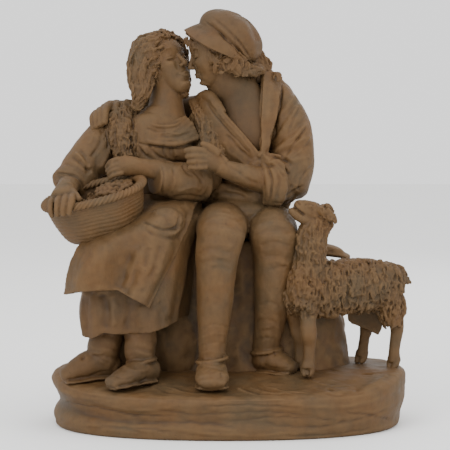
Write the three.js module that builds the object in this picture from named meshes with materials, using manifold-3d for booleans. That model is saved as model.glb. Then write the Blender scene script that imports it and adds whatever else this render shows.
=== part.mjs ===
// A seated couple with a lamb, modelled in clay as one piece and fired.
// Millimetres, +Z up. The origin is at the middle of the underside, -Y is the front,
// and +X is towards the lamb. The woman sits at -X, with a basket on the lap.
import * as THREE from "three";
import { mergeVertices } from "three/addons/utils/BufferGeometryUtils.js";
import Module from "manifold-3d";

const wasm = await Module();
wasm.setup();

// Driving dimensions
const baseLength = 274;
const baseDepth = 176;
const lipHeight = 33; // top of the base at its front edge
const groundHeight = 42; // the ground under the seat and behind it
const seatHeight = 140;
const seatLength = 176;
const seatDepth = 92;
const hemHeight = 74; // lowest edge of the skirt
const clothThickness = 4;
const terracotta = { color: 0x8a6446, roughness: 0.85, metalness: 0 };

const TOWARDS_VIEWER = new THREE.Vector3(0, -1, 0);
const UP = new THREE.Vector3(0, 0, 1);
const FULL_TURN = 2 * Math.PI;
const point = (p) => new THREE.Vector3(...p);
const between = (a, b, t) => a + (b - a) * t;
const signedPower = (x, n) => Math.sign(x) * Math.abs(x) ** n;

// Closed shapes

// Rings of points, each a list of the same length, closed by one point at each end.
function closeRings(rings, firstPole, lastPole) {
  const sides = rings[0].length;
  const positions = [firstPole, ...rings.flat(), lastPole].flatMap((p) => [p.x, p.y, p.z]);
  const last = 1 + rings.length * sides;
  const at = (ring, side) => 1 + ring * sides + (side % sides);
  const index = [];
  for (let side = 0; side < sides; side++) {
    index.push(0, at(0, side + 1), at(0, side));
    for (let ring = 0; ring < rings.length - 1; ring++) {
      const [a, b] = [at(ring, side), at(ring, side + 1)];
      const [c, d] = [at(ring + 1, side), at(ring + 1, side + 1)];
      index.push(a, b, d, a, d, c);
    }
    index.push(last, at(rings.length - 1, side), at(rings.length - 1, side + 1));
  }
  return new THREE.BufferGeometry()
    .setAttribute("position", new THREE.Float32BufferAttribute(positions, 3))
    .setIndex(index);
}

// A rounded form carried along a smooth line. A station is [x, y, z, half width, half depth].
// The width lies across the line and the facing direction, the depth along the facing direction.
// swell(t, angle) is added to the radius, for folds and muscles.
function limb(stations, options = {}) {
  const { sides = 8, rings = 4, facing = TOWARDS_VIEWER, swell = () => 0, blunt = 0.55 } = options;
  const line = new THREE.CatmullRomCurve3(stations.map((s) => point(s.slice(0, 3))), false, "catmullrom");
  const size = new THREE.CatmullRomCurve3(
    stations.map(([, , , wide, deep = wide]) => new THREE.Vector3(wide, deep, 0)),
    false,
    "catmullrom",
  );
  const ringAt = (t, reach, shrink) => {
    const along = line.getTangent(t);
    const across = new THREE.Vector3().crossVectors(along, facing).normalize();
    const front = new THREE.Vector3().crossVectors(across, along).normalize();
    const { x: wide, y: deep } = size.getPoint(t);
    const centre = line.getPoint(t).addScaledVector(along, reach * Math.min(wide, deep));
    return Array.from({ length: sides }, (_, i) => {
      const angle = (i / sides) * FULL_TURN;
      const extra = swell(t, angle);
      return centre
        .clone()
        .addScaledVector(across, (wide + extra) * shrink * Math.cos(angle))
        .addScaledVector(front, (deep + extra) * shrink * Math.sin(angle));
    });
  };
  const poleAt = (t, sign) => {
    const { x: wide, y: deep } = size.getPoint(t);
    return line.getPoint(t).addScaledVector(line.getTangent(t), sign * blunt * Math.min(wide, deep));
  };
  const body = Array.from({ length: rings }, (_, i) => ringAt(i / (rings - 1), 0, 1));
  const shoulder = 0.72; // ring that rounds each end
  return closeRings(
    [ringAt(0, -blunt * shoulder, shoulder), ...body, ringAt(1, blunt * shoulder, shoulder)],
    poleAt(0, -1),
    poleAt(1, 1),
  );
}

// An ellipsoid from a sphere, turned by Euler angles in degrees.
function egg(centre, radii, turn = [0, 0, 0], [across, down] = [8, 5]) {
  const turned = new THREE.Euler(...turn.map(THREE.MathUtils.degToRad));
  return new THREE.SphereGeometry(1, across, down)
    .scale(...radii)
    .applyMatrix4(new THREE.Matrix4().makeRotationFromEuler(turned))
    .translate(...centre);
}

// A cloth of even thickness over front(u, v), with u across and v down.
function cloth(front, columns, rows, thickness = clothThickness) {
  const step = 0.01;
  const surface = (u, v, side) => {
    const here = point(front(u, v));
    const right = point(front(u + step, v)).sub(here);
    const down = point(front(u, v + step)).sub(here);
    return here.addScaledVector(right.cross(down).normalize(), (side * thickness) / 2);
  };
  // Each row runs along the front and returns along the back.
  const loop = (v) => [
    ...Array.from({ length: columns + 1 }, (_, i) => surface(i / columns, v, 1)),
    ...Array.from({ length: columns + 1 }, (_, i) => surface(1 - i / columns, v, -1)),
  ];
  const loops = Array.from({ length: rows + 1 }, (_, j) => loop(j / rows));
  const middle = (v) => point(front(0.5, v));
  return closeRings(loops, middle(0), middle(1));
}

// A geometry as a closed solid, with its faces turned outwards.
function solid(geometry) {
  const bare = geometry.clone();
  bare.deleteAttribute("normal");
  bare.deleteAttribute("uv");
  const merged = mergeVertices(bare, 1e-3);
  const vertProperties = merged.attributes.position.array;
  const triVerts = new Uint32Array(merged.index.array);
  const make = () => new wasm.Manifold(new wasm.Mesh({ numProp: 3, vertProperties, triVerts }));
  const made = make();
  if (made.volume() > 0) return made;
  for (let i = 0; i < triVerts.length; i += 3) {
    [triVerts[i + 1], triVerts[i + 2]] = [triVerts[i + 2], triVerts[i + 1]];
  }
  return make();
}

// Joins geometries into one body and drops any pocket sealed inside it.
function fuse(geometries) {
  const joined = geometries.map(solid).reduce((sum, next) => sum.add(next));
  const shells = joined.decompose().sort((a, b) => b.volume() - a.volume());
  return shells[0];
}

function meshOf(name, body) {
  const { vertProperties, triVerts, numProp } = body.getMesh();
  const geometry = new THREE.BufferGeometry();
  geometry.setAttribute("position", new THREE.BufferAttribute(new Float32Array(vertProperties), numProp));
  geometry.setIndex(new THREE.BufferAttribute(new Uint32Array(triVerts), 1));
  geometry.computeVertexNormals();
  const mesh = new THREE.Mesh(geometry, new THREE.MeshStandardMaterial(terracotta));
  mesh.name = name;
  // The origin comes under the middle of the box, with the underside at height 0.
  geometry.computeBoundingBox();
  const middle = geometry.boundingBox.getCenter(new THREE.Vector3());
  mesh.position.set(-middle.x, -middle.y, 0);
  return mesh;
}

// The ground and the seat

// A point of a rounded oblong, between an ellipse and a rectangle.
function oblong(angle, halfLength, halfDepth, squareness) {
  return [
    halfLength * signedPower(Math.cos(angle), 2 / squareness),
    halfDepth * signedPower(Math.sin(angle), 2 / squareness),
  ];
}

function ground() {
  const sides = 30;
  // Height, and the inset of the edge there: a spreading foot, a shallow groove and a full lip
  // and how much further in the left and right ends are, because the ends are uneven
  const edge = [[0, 3, 0, 3], [8, 1, 0, 3], [16, 4, 3, -3], [27, 0, 0, 0], [lipHeight, 4, 0, 0]];
  const ring = (inset, left, right, heightAt) =>
    Array.from({ length: sides }, (_, i) => {
      const angle = (i / sides) * FULL_TURN;
      const end = Math.cos(angle);
      const tucked = inset + Math.max(0, -end) * left + Math.max(0, end) * right;
      const [x, y] = oblong(angle, baseLength / 2 - tucked, baseDepth / 2 - tucked, 2.35);
      return new THREE.Vector3(x, y, heightAt(x, y));
    });
  const rise = (x, y) =>
    between(lipHeight, groundHeight, THREE.MathUtils.smoothstep(y + baseDepth / 2, 10, 80))
    + 2 * THREE.MathUtils.smoothstep(x, 60, baseLength / 2);
  const roundedLip = 4;
  const rings = edge.map(([height, ...insets]) =>
    ring(...insets, (x, y) => (height < lipHeight ? height : rise(x, y) - roundedLip)));
  rings.push(ring(16, 0, 0, rise), ring(50, 0, 0, rise));
  return closeRings(rings, new THREE.Vector3(0, 0, 0), new THREE.Vector3(0, 0, groundHeight));
}

function seat() {
  const sides = 18;
  const middle = [5, 32];
  // Height and spread: the rock narrows between its foot and its worn top
  const levels = [[38, 1.04], [60, 0.99], [90, 0.95], [122, 0.99], [seatHeight, 0.94]];
  const rings = levels.map(([height, spread], level) =>
    Array.from({ length: sides }, (_, i) => {
      const angle = (i / sides) * FULL_TURN;
      const rough = 1 + 0.03 * Math.sin(3 * angle + level) + 0.025 * Math.sin(7 * angle - 2 * level);
      const size = (spread * rough) / 2;
      const [x, y] = oblong(angle, seatLength * size, seatDepth * size, 3);
      return new THREE.Vector3(middle[0] + x, middle[1] + y, height);
    }),
  );
  return closeRings(
    rings,
    new THREE.Vector3(...middle, levels[0][0] - 2),
    new THREE.Vector3(...middle, seatHeight + 1),
  );
}

const scenery = () => [
  ground(),
  seat(),
  egg([-42, -6, 60], [19, 16, 30]), // foot of the rock between the figures
  egg([82, 22, 131], [13, 14, 5]), // folded blanket at the end of the seat
];

// The woman

const woman = {
  pelvis: [-55, 38, 152],
  waist: [-51, 26, 184],
  bust: [-53, 12, 213],
  shoulders: [-56, 19, 230],
  neck: [-47, 13, 245],
  jaw: [-47, 7, 266],
  head: [-54, 11, 282],
  shoulderNear: [-88, 18, 228],
  elbowNear: [-113, -2, 198],
  cuffNear: [-123, -14, 185],
  handNear: [-129, -34, 168],
  shoulderFar: [-26, 22, 228],
  elbowFar: [-19, -8, 187],
  cuffFar: [-56, -26, 191],
  handFar: [-84, -34, 197],
};

const bend = (a, b, t, lift = [0, 0, 0]) => a.map((v, i) => between(v, b[i], t) + lift[i]);
// Folds that run round a sleeve, deeper on one side
const folds = (depth, count, side = 0) => (t, angle) =>
  depth * Math.sin(count * FULL_TURN * t + 1.3 * Math.sin(angle)) * (0.6 + 0.4 * Math.cos(angle - side));

function womanBody() {
  const w = woman;
  return [
    limb([
      [...w.pelvis, 34, 28], [...w.waist, 24, 20], [...w.bust, 30, 20],
      [...w.shoulders, 31, 14], [...w.neck, 13, 11],
    ], {
      sides: 12,
      rings: 7,
    }),
    egg([-51, -3, 212], [24, 12, 13]), // bust
    limb([[...w.neck, 12, 11], [...w.jaw, 11, 11]], { rings: 3 }),
    // Open front edges of the fleece waistcoat
    limb([[-86, 6, 242, 8, 6], [-84, -2, 226, 10, 7], [-80, -8, 208, 9, 6]], { rings: 4 }),
    limb([[-24, 8, 236, 7, 6], [-14, -4, 222, 11, 7], [-10, -9, 205, 9, 6]], { rings: 4 }),
  ];
}

function womanHead() {
  const w = woman;
  return [
    egg(w.head, [22.5, 20, 22.5], [0, 0, 0], [10, 7]),
    egg([-46, -1, 280], [14, 13, 17], [-20, -24, 0], [8, 6]), // face
    egg([-36, -8, 272], [4, 4, 5]), // nose and lips
    // Hair: a long lock in front of the near shoulder and a thick fall down the back
    limb([[-72, 10, 280, 8, 9], [-69, 6, 258, 9, 8], [-63, 2, 242, 6, 5]]),
    limb([[-56, 22, 288, 15, 10], [-55, 33, 256, 17, 9], [-56, 36, 220, 11, 6]], {
      sides: 10,
      rings: 6,
    }),
  ];
}

// Four fingers held together, from the knuckles over the middle joints to the tips.
function fingers(knuckles, joints, tips, halfWidth, halfDepth, facing = TOWARDS_VIEWER) {
  return limb([
    [...knuckles, halfWidth, halfDepth], [...joints, halfWidth, halfDepth],
    [...tips, halfWidth * 0.85, halfDepth * 0.7],
  ], {
    rings: 3,
    facing,
  });
}

function womanArms() {
  const w = woman;
  return [
    limb([
      [...w.shoulderNear, 15, 14], [-102, 8, 213, 16.5, 16], [...w.elbowNear, 16.5, 16],
      [...w.cuffNear, 14, 14],
    ], {
      sides: 10,
      rings: 7,
      swell: folds(1, 3),
      blunt: 0.3,
    }),
    limb([[-125, -20, 182, 8], [...w.handNear, 9, 9], [-128, -44, 162, 9, 5]], { rings: 4 }),
    limb([[...w.shoulderFar, 13, 14], [-19, 6, 210, 13, 14], [...w.elbowFar, 13, 14]]),
    limb([[...w.elbowFar, 13, 15], [-38, -19, 187, 15, 14.5], [...w.cuffFar, 13, 12]], {
      sides: 10,
      rings: 5,
      facing: UP,
      swell: folds(0.8, 2),
      blunt: 0.15,
    }),
    limb([[...w.cuffFar, 7.5], [-70, -31, 197, 7.5], [...w.handFar, 8.5, 6]], { facing: UP }),
    fingers([-86, -35, 199], [-93, -36, 195], [-93, -33, 188], 8, 4),
  ];
}

const skirtFold = (angle, depth) => depth * (Math.sin(5 * angle + 0.6) + 0.5 * Math.sin(9 * angle));

function womanSkirt() {
  const sides = 20;
  // Height, centre x and y, half width and half depth, depth of the folds, and sideways slope
  const levels = [
    [166, -50, 10, 28, 34, 0, 0.1],
    [154, -60, -4, 42, 44, 0.5, 0.15],
    [134, -70, -15, 45, 44, 1, 0.05],
    [106, -73, -21, 42, 38, 2, 0],
    [hemHeight + 2, -74, -24, 38, 35, 3, 0.08],
  ];
  const rings = levels.map(([height, x, y, wide, deep, depth, slope]) =>
    Array.from({ length: sides }, (_, i) => {
      const angle = (i / sides) * FULL_TURN;
      const fold = skirtFold(angle, depth);
      const [dx, dy] = oblong(angle, wide + fold, deep + fold, 2.4);
      return new THREE.Vector3(x + dx, y + dy, height + slope * dx);
    }),
  );
  const [, hemX, hemY] = levels.at(-1);
  return closeRings(rings, new THREE.Vector3(-50, 12, 170), new THREE.Vector3(hemX, hemY, hemHeight + 8));
}

// The apron falls from the lap to a left corner and to a lower point right of the middle.
function apronAt(u, v) {
  const side = 2 * u - 1;
  const reach = THREE.MathUtils.smoothstep(v, 0, 0.45); // from the waist out over the knees
  const x = between(-52, -80, v) + side * between(28, 38, v);
  const y = between(-12, -62, reach) - 2 * v + 7 * side * side * (1 - 0.5 * v) + 2 * v * Math.sin(11 * u);
  const drop = between(0, 58, Math.max(0, (v - 0.3) / 0.7));
  const corner = v * (13 * THREE.MathUtils.smoothstep(u, 0.4, 0.85) - 2);
  return [x, y, 168 + 8 * side * (1 - v) * reach - 6 * v - drop - corner];
}

// A leg down to the heel, with slack stockings above the shoe
const lowerLeg = (stations, swell) => limb(stations, { rings: 6, swell, blunt: 0.2 });

const shoe = (heel, toe, width = 9) =>
  limb([
    [...heel, width, 8], [...bend(heel, toe, 0.5, [0, 0, 1]), width, 8],
    [...toe, width * 0.75, 5],
  ], { facing: UP });

const womanLower = () => [
  womanSkirt(),
  cloth(apronAt, 8, 7),
  egg([-53, -46, 160], [14, 11, 12], [10, 0, 0]), // filled pocket
  lowerLeg([[-91, -34, 84, 12], [-92, -34, 66, 11.5], [-96, -33, 46, 10]], folds(0.6, 2)),
  shoe([-97, -34, 48], [-119, -40, 43], 10),
  lowerLeg([[-68, -42, 84, 12], [-67, -43, 66, 11.5], [-66, -44, 44, 10]], folds(0.6, 2)),
  shoe([-67, -48, 46], [-86, -68, 41], 10),
];

// The basket: an oval bowl, tipped towards the viewer and down to the hand

const basket = {
  centre: [-102, -42, 177],
  halfLength: 40,
  halfDepth: 25,
  height: 31,
  wall: 4,
  roll: -12,
  pitch: 15,
};

function basketParts() {
  const { centre, halfLength, halfDepth, height, wall, roll, pitch } = basket;
  const sides = 16;
  // Scale and height down the outside, over the rim and down the inside
  const profile = [[0.5, -height], [0.78, -0.7 * height], [1, -2], [1.03, 1], [0.96, 2]];
  const inside = 1 - wall / halfDepth;
  profile.push([inside * 0.95, -7]);
  const turn = new THREE.Matrix4()
    .makeRotationY(THREE.MathUtils.degToRad(roll))
    .multiply(new THREE.Matrix4().makeRotationX(THREE.MathUtils.degToRad(pitch)));
  const place = (x, y, z) => new THREE.Vector3(x, y, z).applyMatrix4(turn).add(point(centre));
  const rings = profile.map(([scale, z]) =>
    Array.from({ length: sides }, (_, i) => {
      const angle = (i / sides) * FULL_TURN;
      return place(halfLength * scale * Math.cos(angle), halfDepth * scale * Math.sin(angle), z);
    }));
  const bowl = closeRings(rings, place(0, 0, -height), place(0, 0, -7));
  const fruit = [];
  for (let i = 0; i < 3; i++) {
    fruit.push(egg(place(2 + 11 * i, 2 - 4 * (i % 2), -2).toArray(), [8, 10, 6], [0, 20 * i, 0], [6, 5]));
  }
  return [bowl, ...fruit];
}

// The man

const man = {
  pelvis: [14, 42, 158],
  waist: [10, 28, 186],
  chest: [14, 18, 222],
  shoulders: [16, 22, 245],
  neck: [12, 16, 253],
  jaw: [-3, 8, 270],
  head: [-3, 7, 284],
  elbowNear: [43, -4, 183],
  cuffNear: [29, -14, 188],
  wristNear: [-10, -30, 201],
  palmNear: [-22, -35, 206],
  shoulderFar: [-14, 34, 242],
  kneeRight: [-6, -40, 150],
  kneeLeft: [33, -24, 147],
};

function manBody() {
  const m = man;
  return [
    limb([
      [...m.pelvis, 36, 26], [...m.waist, 30, 22], [...m.chest, 33, 24],
      [...m.shoulders, 33, 16], [...m.neck, 16, 14],
    ], {
      sides: 12,
      rings: 7,
    }),
    limb([[...m.neck, 15, 15], [...m.jaw, 13, 14]], { rings: 3 }),
    // Open collar: both edges of the shirt run down to the same point
    limb([[28, 6, 262, 5, 5], [30, -5, 236, 5, 4], [27, -9, 206, 4, 3]], { sides: 6 }),
    limb([[-22, 6, 248, 5, 5], [2, -9, 230, 5, 4], [24, -9, 206, 4, 3]], { sides: 6 }),
  ];
}

function manHead() {
  const m = man;
  return [
    egg(m.head, [21, 18, 22], [0, 0, 0], [10, 7]),
    egg([-14, 3, 275], [12, 13, 15], [0, 20, 0], [8, 6]), // jaw and cheeks
    egg([-26, 1, 275], [4, 4, 5]), // nose and lips
    limb([[8, -8, 281, 9, 6], [16, 2, 272, 9, 8], [26, 16, 268, 8, 8]]), // hair over the nape
    // Cap: a full crown that falls back over a band, with a peak
    egg([2, 6, 299], [27, 22, 18], [0, 33, 0], [12, 8]),
    limb([
      [-12, 5, 302, 20, 4], [-23, 4, 302, 18, 3.5], [-31, 3, 300, 11, 3],
    ], { facing: UP, blunt: 0.8, rings: 3 }),
  ];
}

function manArms() {
  const m = man;
  return [
    limb([
      [38, 20, 246, 15, 15], [46, 12, 226, 18, 19], [46, 4, 204, 18.5, 19],
      [...m.elbowNear, 17, 16],
    ], {
      sides: 10,
      rings: 7,
      swell: folds(0.9, 2),
    }),
    limb([
      [43, -3, 184, 14, 15], [...m.cuffNear, 13.5, 13],
    ], { sides: 10, rings: 3, facing: UP, blunt: 0.2 }), // rolled cuff
    limb([
      [34, -10, 186, 9.5], [...bend(m.cuffNear, m.wristNear, 0.4), 9, 8.5],
      [...m.wristNear, 7, 6], [...m.palmNear, 8.5, 6],
    ], {
      rings: 5,
      facing: UP,
    }),
    fingers([-24, -38, 207], [-31, -39, 205], [-37, -34, 203], 9, 4),
    // Far arm, round the woman and over the near shoulder
    limb([
      [...m.shoulderFar, 15, 14], [-50, 42, 238, 12, 12], [-80, 30, 240, 10, 9],
      [-95, 14, 242, 9, 7],
    ], { facing: UP }),
    fingers([-95, 12, 243], [-101, 3, 240], [-102, 1, 229], 8, 4.5),
  ];
}

function manLegs() {
  const m = man;
  const calf = (t, angle) => 1.6 * Math.sin(Math.PI * t) * Math.max(0, -Math.sin(angle));
  return [
    egg([10, 6, 163], [32, 26, 16]), // lap under the shirt
    limb([
      [0, 30, 152, 22, 19], [-4, -2, 153, 21, 18], [...m.kneeRight, 19, 17],
    ], { sides: 10, facing: UP }),
    limb([
      [26, 32, 152, 22, 19], [30, 6, 152, 21, 18], [...m.kneeLeft, 19, 17],
    ], { sides: 10, facing: UP }),
    lowerLeg([
      [-6, -42, 148, 19, 16], [-10, -44, 118, 14.5, 14], [-11, -44, 90, 12.5, 12.5],
      [-13, -44, 44, 10, 11],
    ], calf),
    lowerLeg([
      [34, -26, 146, 19, 15], [34, -22, 118, 15, 14], [32, -18, 90, 12.5, 12.5],
      [27, -11, 46, 11, 12],
    ], calf),
    shoe([-13, -48, 46], [-13, -64, 42], 11),
    shoe([28, -12, 49], [44, -20, 47], 10),
  ];
}

// The lamb

function lambLeg(top, foot, stout) {
  const knee = bend(top, foot, 0.55);
  return limb([
    [...top, stout, stout], [...knee, stout * 0.7], [...foot, stout * 0.62],
  ], { sides: 6 });
}

function lamb() {
  const fleece = (t, angle) => 1.2 * Math.sin(5 * angle + 9 * t);
  return [
    limb([
      [54, -26, 106, 16, 21], [76, -18, 104, 16, 23], [104, -8, 103, 17, 23],
      [125, 0, 100, 14, 19],
    ], {
      sides: 12,
      rings: 6,
      facing: UP,
      swell: fleece,
    }),
    limb([
      [55, -27, 102, 14, 15], [59, -26, 126, 12.5, 14], [63, -25, 146, 12, 12],
      [66, -25, 158, 13, 11],
    ], { rings: 5 }),
    limb([
      [73, -25, 164, 8, 8.5], [60, -26, 169, 8, 7], [49, -28, 170, 5.5, 5.5],
    ], { facing: UP }), // head
    limb([
      [124, 2, 112, 6, 5], [134, 5, 112, 4, 4], [137, 6, 106, 3, 3],
    ], { sides: 6, rings: 3 }), // tail
    lambLeg([60, -32, 92], [60, -34, 41], 8.5),
    lambLeg([50, -18, 92], [55, -13, 43], 7.5),
    lambLeg([125, -6, 94], [128, -3, 44], 9),
    lambLeg([108, 10, 84], [105, 18, 46], 9),
  ];
}

const group = new THREE.Group();
const everything = [
  ...scenery(),
  ...womanBody(),
  ...womanHead(),
  ...womanArms(),
  ...womanLower(),
  ...basketParts(),
  ...manBody(),
  ...manHead(),
  ...manArms(),
  ...manLegs(),
  ...lamb(),
];
group.add(meshOf("terracotta_group", fuse(everything)));

export default group;
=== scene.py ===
# A seated couple with a lamb, modelled in clay in one piece and fired.
# Shapes are worked out in millimetres and become metres when their mesh is made.
import bpy
import numpy as np
from math import pi, radians, tau
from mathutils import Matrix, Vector


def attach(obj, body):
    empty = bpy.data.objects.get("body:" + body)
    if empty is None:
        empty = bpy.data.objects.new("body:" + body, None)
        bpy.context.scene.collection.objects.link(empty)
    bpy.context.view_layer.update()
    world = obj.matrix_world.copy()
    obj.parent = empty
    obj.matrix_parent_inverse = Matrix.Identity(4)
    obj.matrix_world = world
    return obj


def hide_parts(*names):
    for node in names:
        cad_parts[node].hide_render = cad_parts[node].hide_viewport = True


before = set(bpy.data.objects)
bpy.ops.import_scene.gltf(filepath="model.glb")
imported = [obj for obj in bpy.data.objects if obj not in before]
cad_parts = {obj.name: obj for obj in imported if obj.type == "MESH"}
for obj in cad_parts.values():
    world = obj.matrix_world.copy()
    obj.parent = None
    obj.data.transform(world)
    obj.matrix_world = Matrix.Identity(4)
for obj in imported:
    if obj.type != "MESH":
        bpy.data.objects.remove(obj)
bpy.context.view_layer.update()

groupNode = "terracotta_group"
centring = 1.4  # mm along X, brings the middle of the whole group over the origin
coarse = 1.0
towardsFront = (0.0, -1.0, 0.0)
upwards = (0.0, 0.0, 1.0)


# Vectors and noise

def unit(v):
    # v over its own length
    v = np.asarray(v, float)
    return v / np.maximum(np.linalg.norm(v, axis=-1, keepdims=True), 1e-9)


def ease(x, low, high):
    # 0 below low, 1 above high, and a cubic between
    u = np.clip((x - low) / (high - low), 0, 1)
    return u * u * (3 - 2 * u)


def bump(x, middle, width):
    # a bell of height 1
    return np.exp(-((x - middle) / width) ** 2)


def signedPower(x, power):
    # |x| to the power, with the sign of x
    return np.sign(x) * np.abs(x) ** power


def turning(degrees):
    # rotation about X, then Y, then Z, written as one matrix X * Y * Z
    (sx, sy, sz), (cx, cy, cz) = np.sin(np.radians(degrees)), np.cos(np.radians(degrees))
    aboutX = np.array([[1, 0, 0], [0, cx, -sx], [0, sx, cx]])
    aboutY = np.array([[cy, 0, sy], [0, 1, 0], [-sy, 0, cy]])
    aboutZ = np.array([[cz, -sz, 0], [sz, cz, 0], [0, 0, 1]])
    return aboutX @ aboutY @ aboutZ


def latticeValue(cell, seed):
    # one fixed value between -1 and 1 for each whole-number cell, from its mixed bits
    n = cell[..., 0] * 73856093 ^ cell[..., 1] * 19349663 ^ cell[..., 2] * 83492791 ^ (seed + 1) * 2654435
    n = ((n ^ (n >> 13)) * 1274126177) & 0x7FFFFFFF
    n = ((n ^ (n >> 15)) * 668265263) & 0x7FFFFFFF
    return n / 0x3FFFFFFF - 1


def noise(p, size, seed=0):
    # smooth values: each point blends the eight corners of its cell by a cubic
    q = np.asarray(p, float) / size
    cell = np.floor(q).astype(np.int64)
    f = q - cell
    f = f * f * (3 - 2 * f)
    total = np.zeros(q.shape[:-1])
    for corner in np.ndindex(2, 2, 2):
        share = np.prod(np.where(corner, f, 1 - f), axis=-1)
        total += share * latticeValue(cell + np.array(corner), seed)
    return total


def layered(p, size, seed=0, layers=3):
    # noise at half the size and half the height, layer after layer
    return sum(noise(p, size / 2 ** k, seed + 7 * k) / 2 ** k for k in range(layers))


def through(points, t):
    # Catmull-Rom: a cubic through every point, whose slope is half the step over its neighbours
    p = np.asarray(points, float)
    pieces = len(p) - 1
    p = np.concatenate([2 * p[:1] - p[1:2], p, 2 * p[-1:] - p[-2:-1]])
    s = np.clip(np.asarray(t, float), 0, 1) * pieces
    i = np.minimum(s.astype(int), pieces - 1)
    u = (s - i).reshape(i.shape + (1,) * (p.ndim - 1))
    a, b, c, d = p[i], p[i + 1], p[i + 2], p[i + 3]
    place = b + 0.5 * u * (c - a + u * (2 * a - 5 * b + 4 * c - d + u * (3 * b - a - 3 * c + d)))
    slope = 0.5 * (c - a + u * (2 * (2 * a - 5 * b + 4 * c - d) + 3 * u * (3 * b - a - 3 * c + d)))
    return place, slope


def carried(stations, t, facing):
    # A smooth line through stations, with its three directions at t: forward along it, across it at right
    # angles to facing, and front. A station is x, y, z, half width, half depth, and its depth may be left
    # out where it is the same as the width.
    full = np.array([[*row, *[row[3]] * (5 - len(row))] for row in stations], float)
    line, slope = through(full, t)
    forward = unit(slope[:, :3])
    across = unit(np.cross(forward, facing))
    return line, forward, across, unit(np.cross(across, forward))


# Closed shapes: each is (points, triangles)

def closed(rings, firstPole, lastPole):
    # rings of equal length, stitched in order, with a fan of triangles to a pole at each end
    rows, sides = rings.shape[:2]
    points = np.concatenate([np.reshape(firstPole, (1, 3)), rings.reshape(-1, 3),
                             np.reshape(lastPole, (1, 3))])
    here = 1 + np.arange(rows * sides).reshape(rows, sides)
    beside = np.roll(here, -1, axis=1)
    a, b, c, d = here[:-1], beside[:-1], here[1:], beside[1:]
    walls = np.concatenate([np.stack([a, b, d], -1).reshape(-1, 3),
                            np.stack([a, d, c], -1).reshape(-1, 3)])
    start = np.stack([np.zeros(sides, int), beside[0], here[0]], -1)
    finish = np.stack([np.full(sides, len(points) - 1), here[-1], beside[-1]], -1)
    return points, np.concatenate([walls, start, finish])


def sweep(stations, facing=towardsFront, around=40, along=36, blunt=0.6, relief=None, squareness=2.0):
    # A rounded form carried along a smooth line. ring point = centre + width * cos(a) * across
    # + depth * sin(a) * front, and each end shrinks as a quarter circle. relief(t, a) is added to both
    # half sizes.
    rounding = np.radians([75, 55, 35, 16])
    t = np.concatenate([np.zeros(4), np.linspace(0, 1, along), np.ones(4)])
    shrink = np.concatenate([np.cos(rounding), np.ones(along), np.cos(rounding[::-1])])
    lift = blunt * np.concatenate([-np.sin(rounding), np.zeros(along), np.sin(rounding[::-1])])
    line, forward, across, front = carried(stations, t, facing)
    wide, deep = line[:, 3], line[:, 4]
    centre = line[:, :3] + forward * (lift * np.minimum(wide, deep))[:, None]
    a = np.linspace(0, tau, around, endpoint=False)
    grow = relief(t[:, None], a[None, :]) if relief else 0.0
    x = (wide[:, None] + grow) * shrink[:, None] * signedPower(np.cos(a), 2 / squareness)
    y = (deep[:, None] + grow) * shrink[:, None] * signedPower(np.sin(a), 2 / squareness)
    rings = centre[:, None] + x[..., None] * across[:, None] + y[..., None] * front[:, None]
    tip = blunt * np.minimum(wide, deep)
    return closed(rings, line[0, :3] - forward[0] * tip[0], line[-1, :3] + forward[-1] * tip[-1])


def blob(centre, radii, degrees=(0, 0, 0), axes=None, around=40, relief=None):
    # An ellipsoid: latitude rings of a ball, scaled, turned and placed.
    latitude = np.radians(np.linspace(-86, 86, around * 2 // 3))
    a = np.linspace(0, tau, around, endpoint=False)
    ball = np.stack([
        np.cos(latitude)[:, None] * np.cos(a),
        np.cos(latitude)[:, None] * np.sin(a),
        np.broadcast_to(np.sin(latitude)[:, None], (len(latitude), around)),
    ], -1)
    matrix = turning(degrees) if axes is None else np.asarray(axes, float).T
    points, triangles = closed(ball, (0, 0, -1), (0, 0, 1))
    sized = points * np.asarray(radii, float)
    if relief is not None:
        sized += points * relief(points)[:, None]
    return sized @ matrix.T + np.asarray(centre, float), triangles


def net(rows, u, v):
    # A surface through a net of points: Catmull-Rom across each row, then down the columns.
    rows = np.asarray(rows, float)
    acrossRows = np.stack([through(row, u)[0] for row in rows])
    return through(acrossRows, v)[0]


def cloth(rows, thickness=3.2, columns=90, lines=90, relief=None):
    # Two skins half a thickness to each side of a net surface, closed round the border.
    u, v = np.linspace(0, 1, columns), np.linspace(0, 1, lines)
    middle = net(rows, u, v)
    normal = unit(np.cross(np.gradient(middle, axis=1), np.gradient(middle, axis=0)))
    if relief is not None:
        middle = middle + normal * relief(u[None, :], v[:, None])[..., None]
        normal = unit(np.cross(np.gradient(middle, axis=1), np.gradient(middle, axis=0)))
    half = thickness / 2
    rings = np.concatenate([middle + normal * half, (middle - normal * half)[:, ::-1]], axis=1)
    return closed(rings, middle[0, columns // 2], middle[-1, columns // 2])


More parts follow.
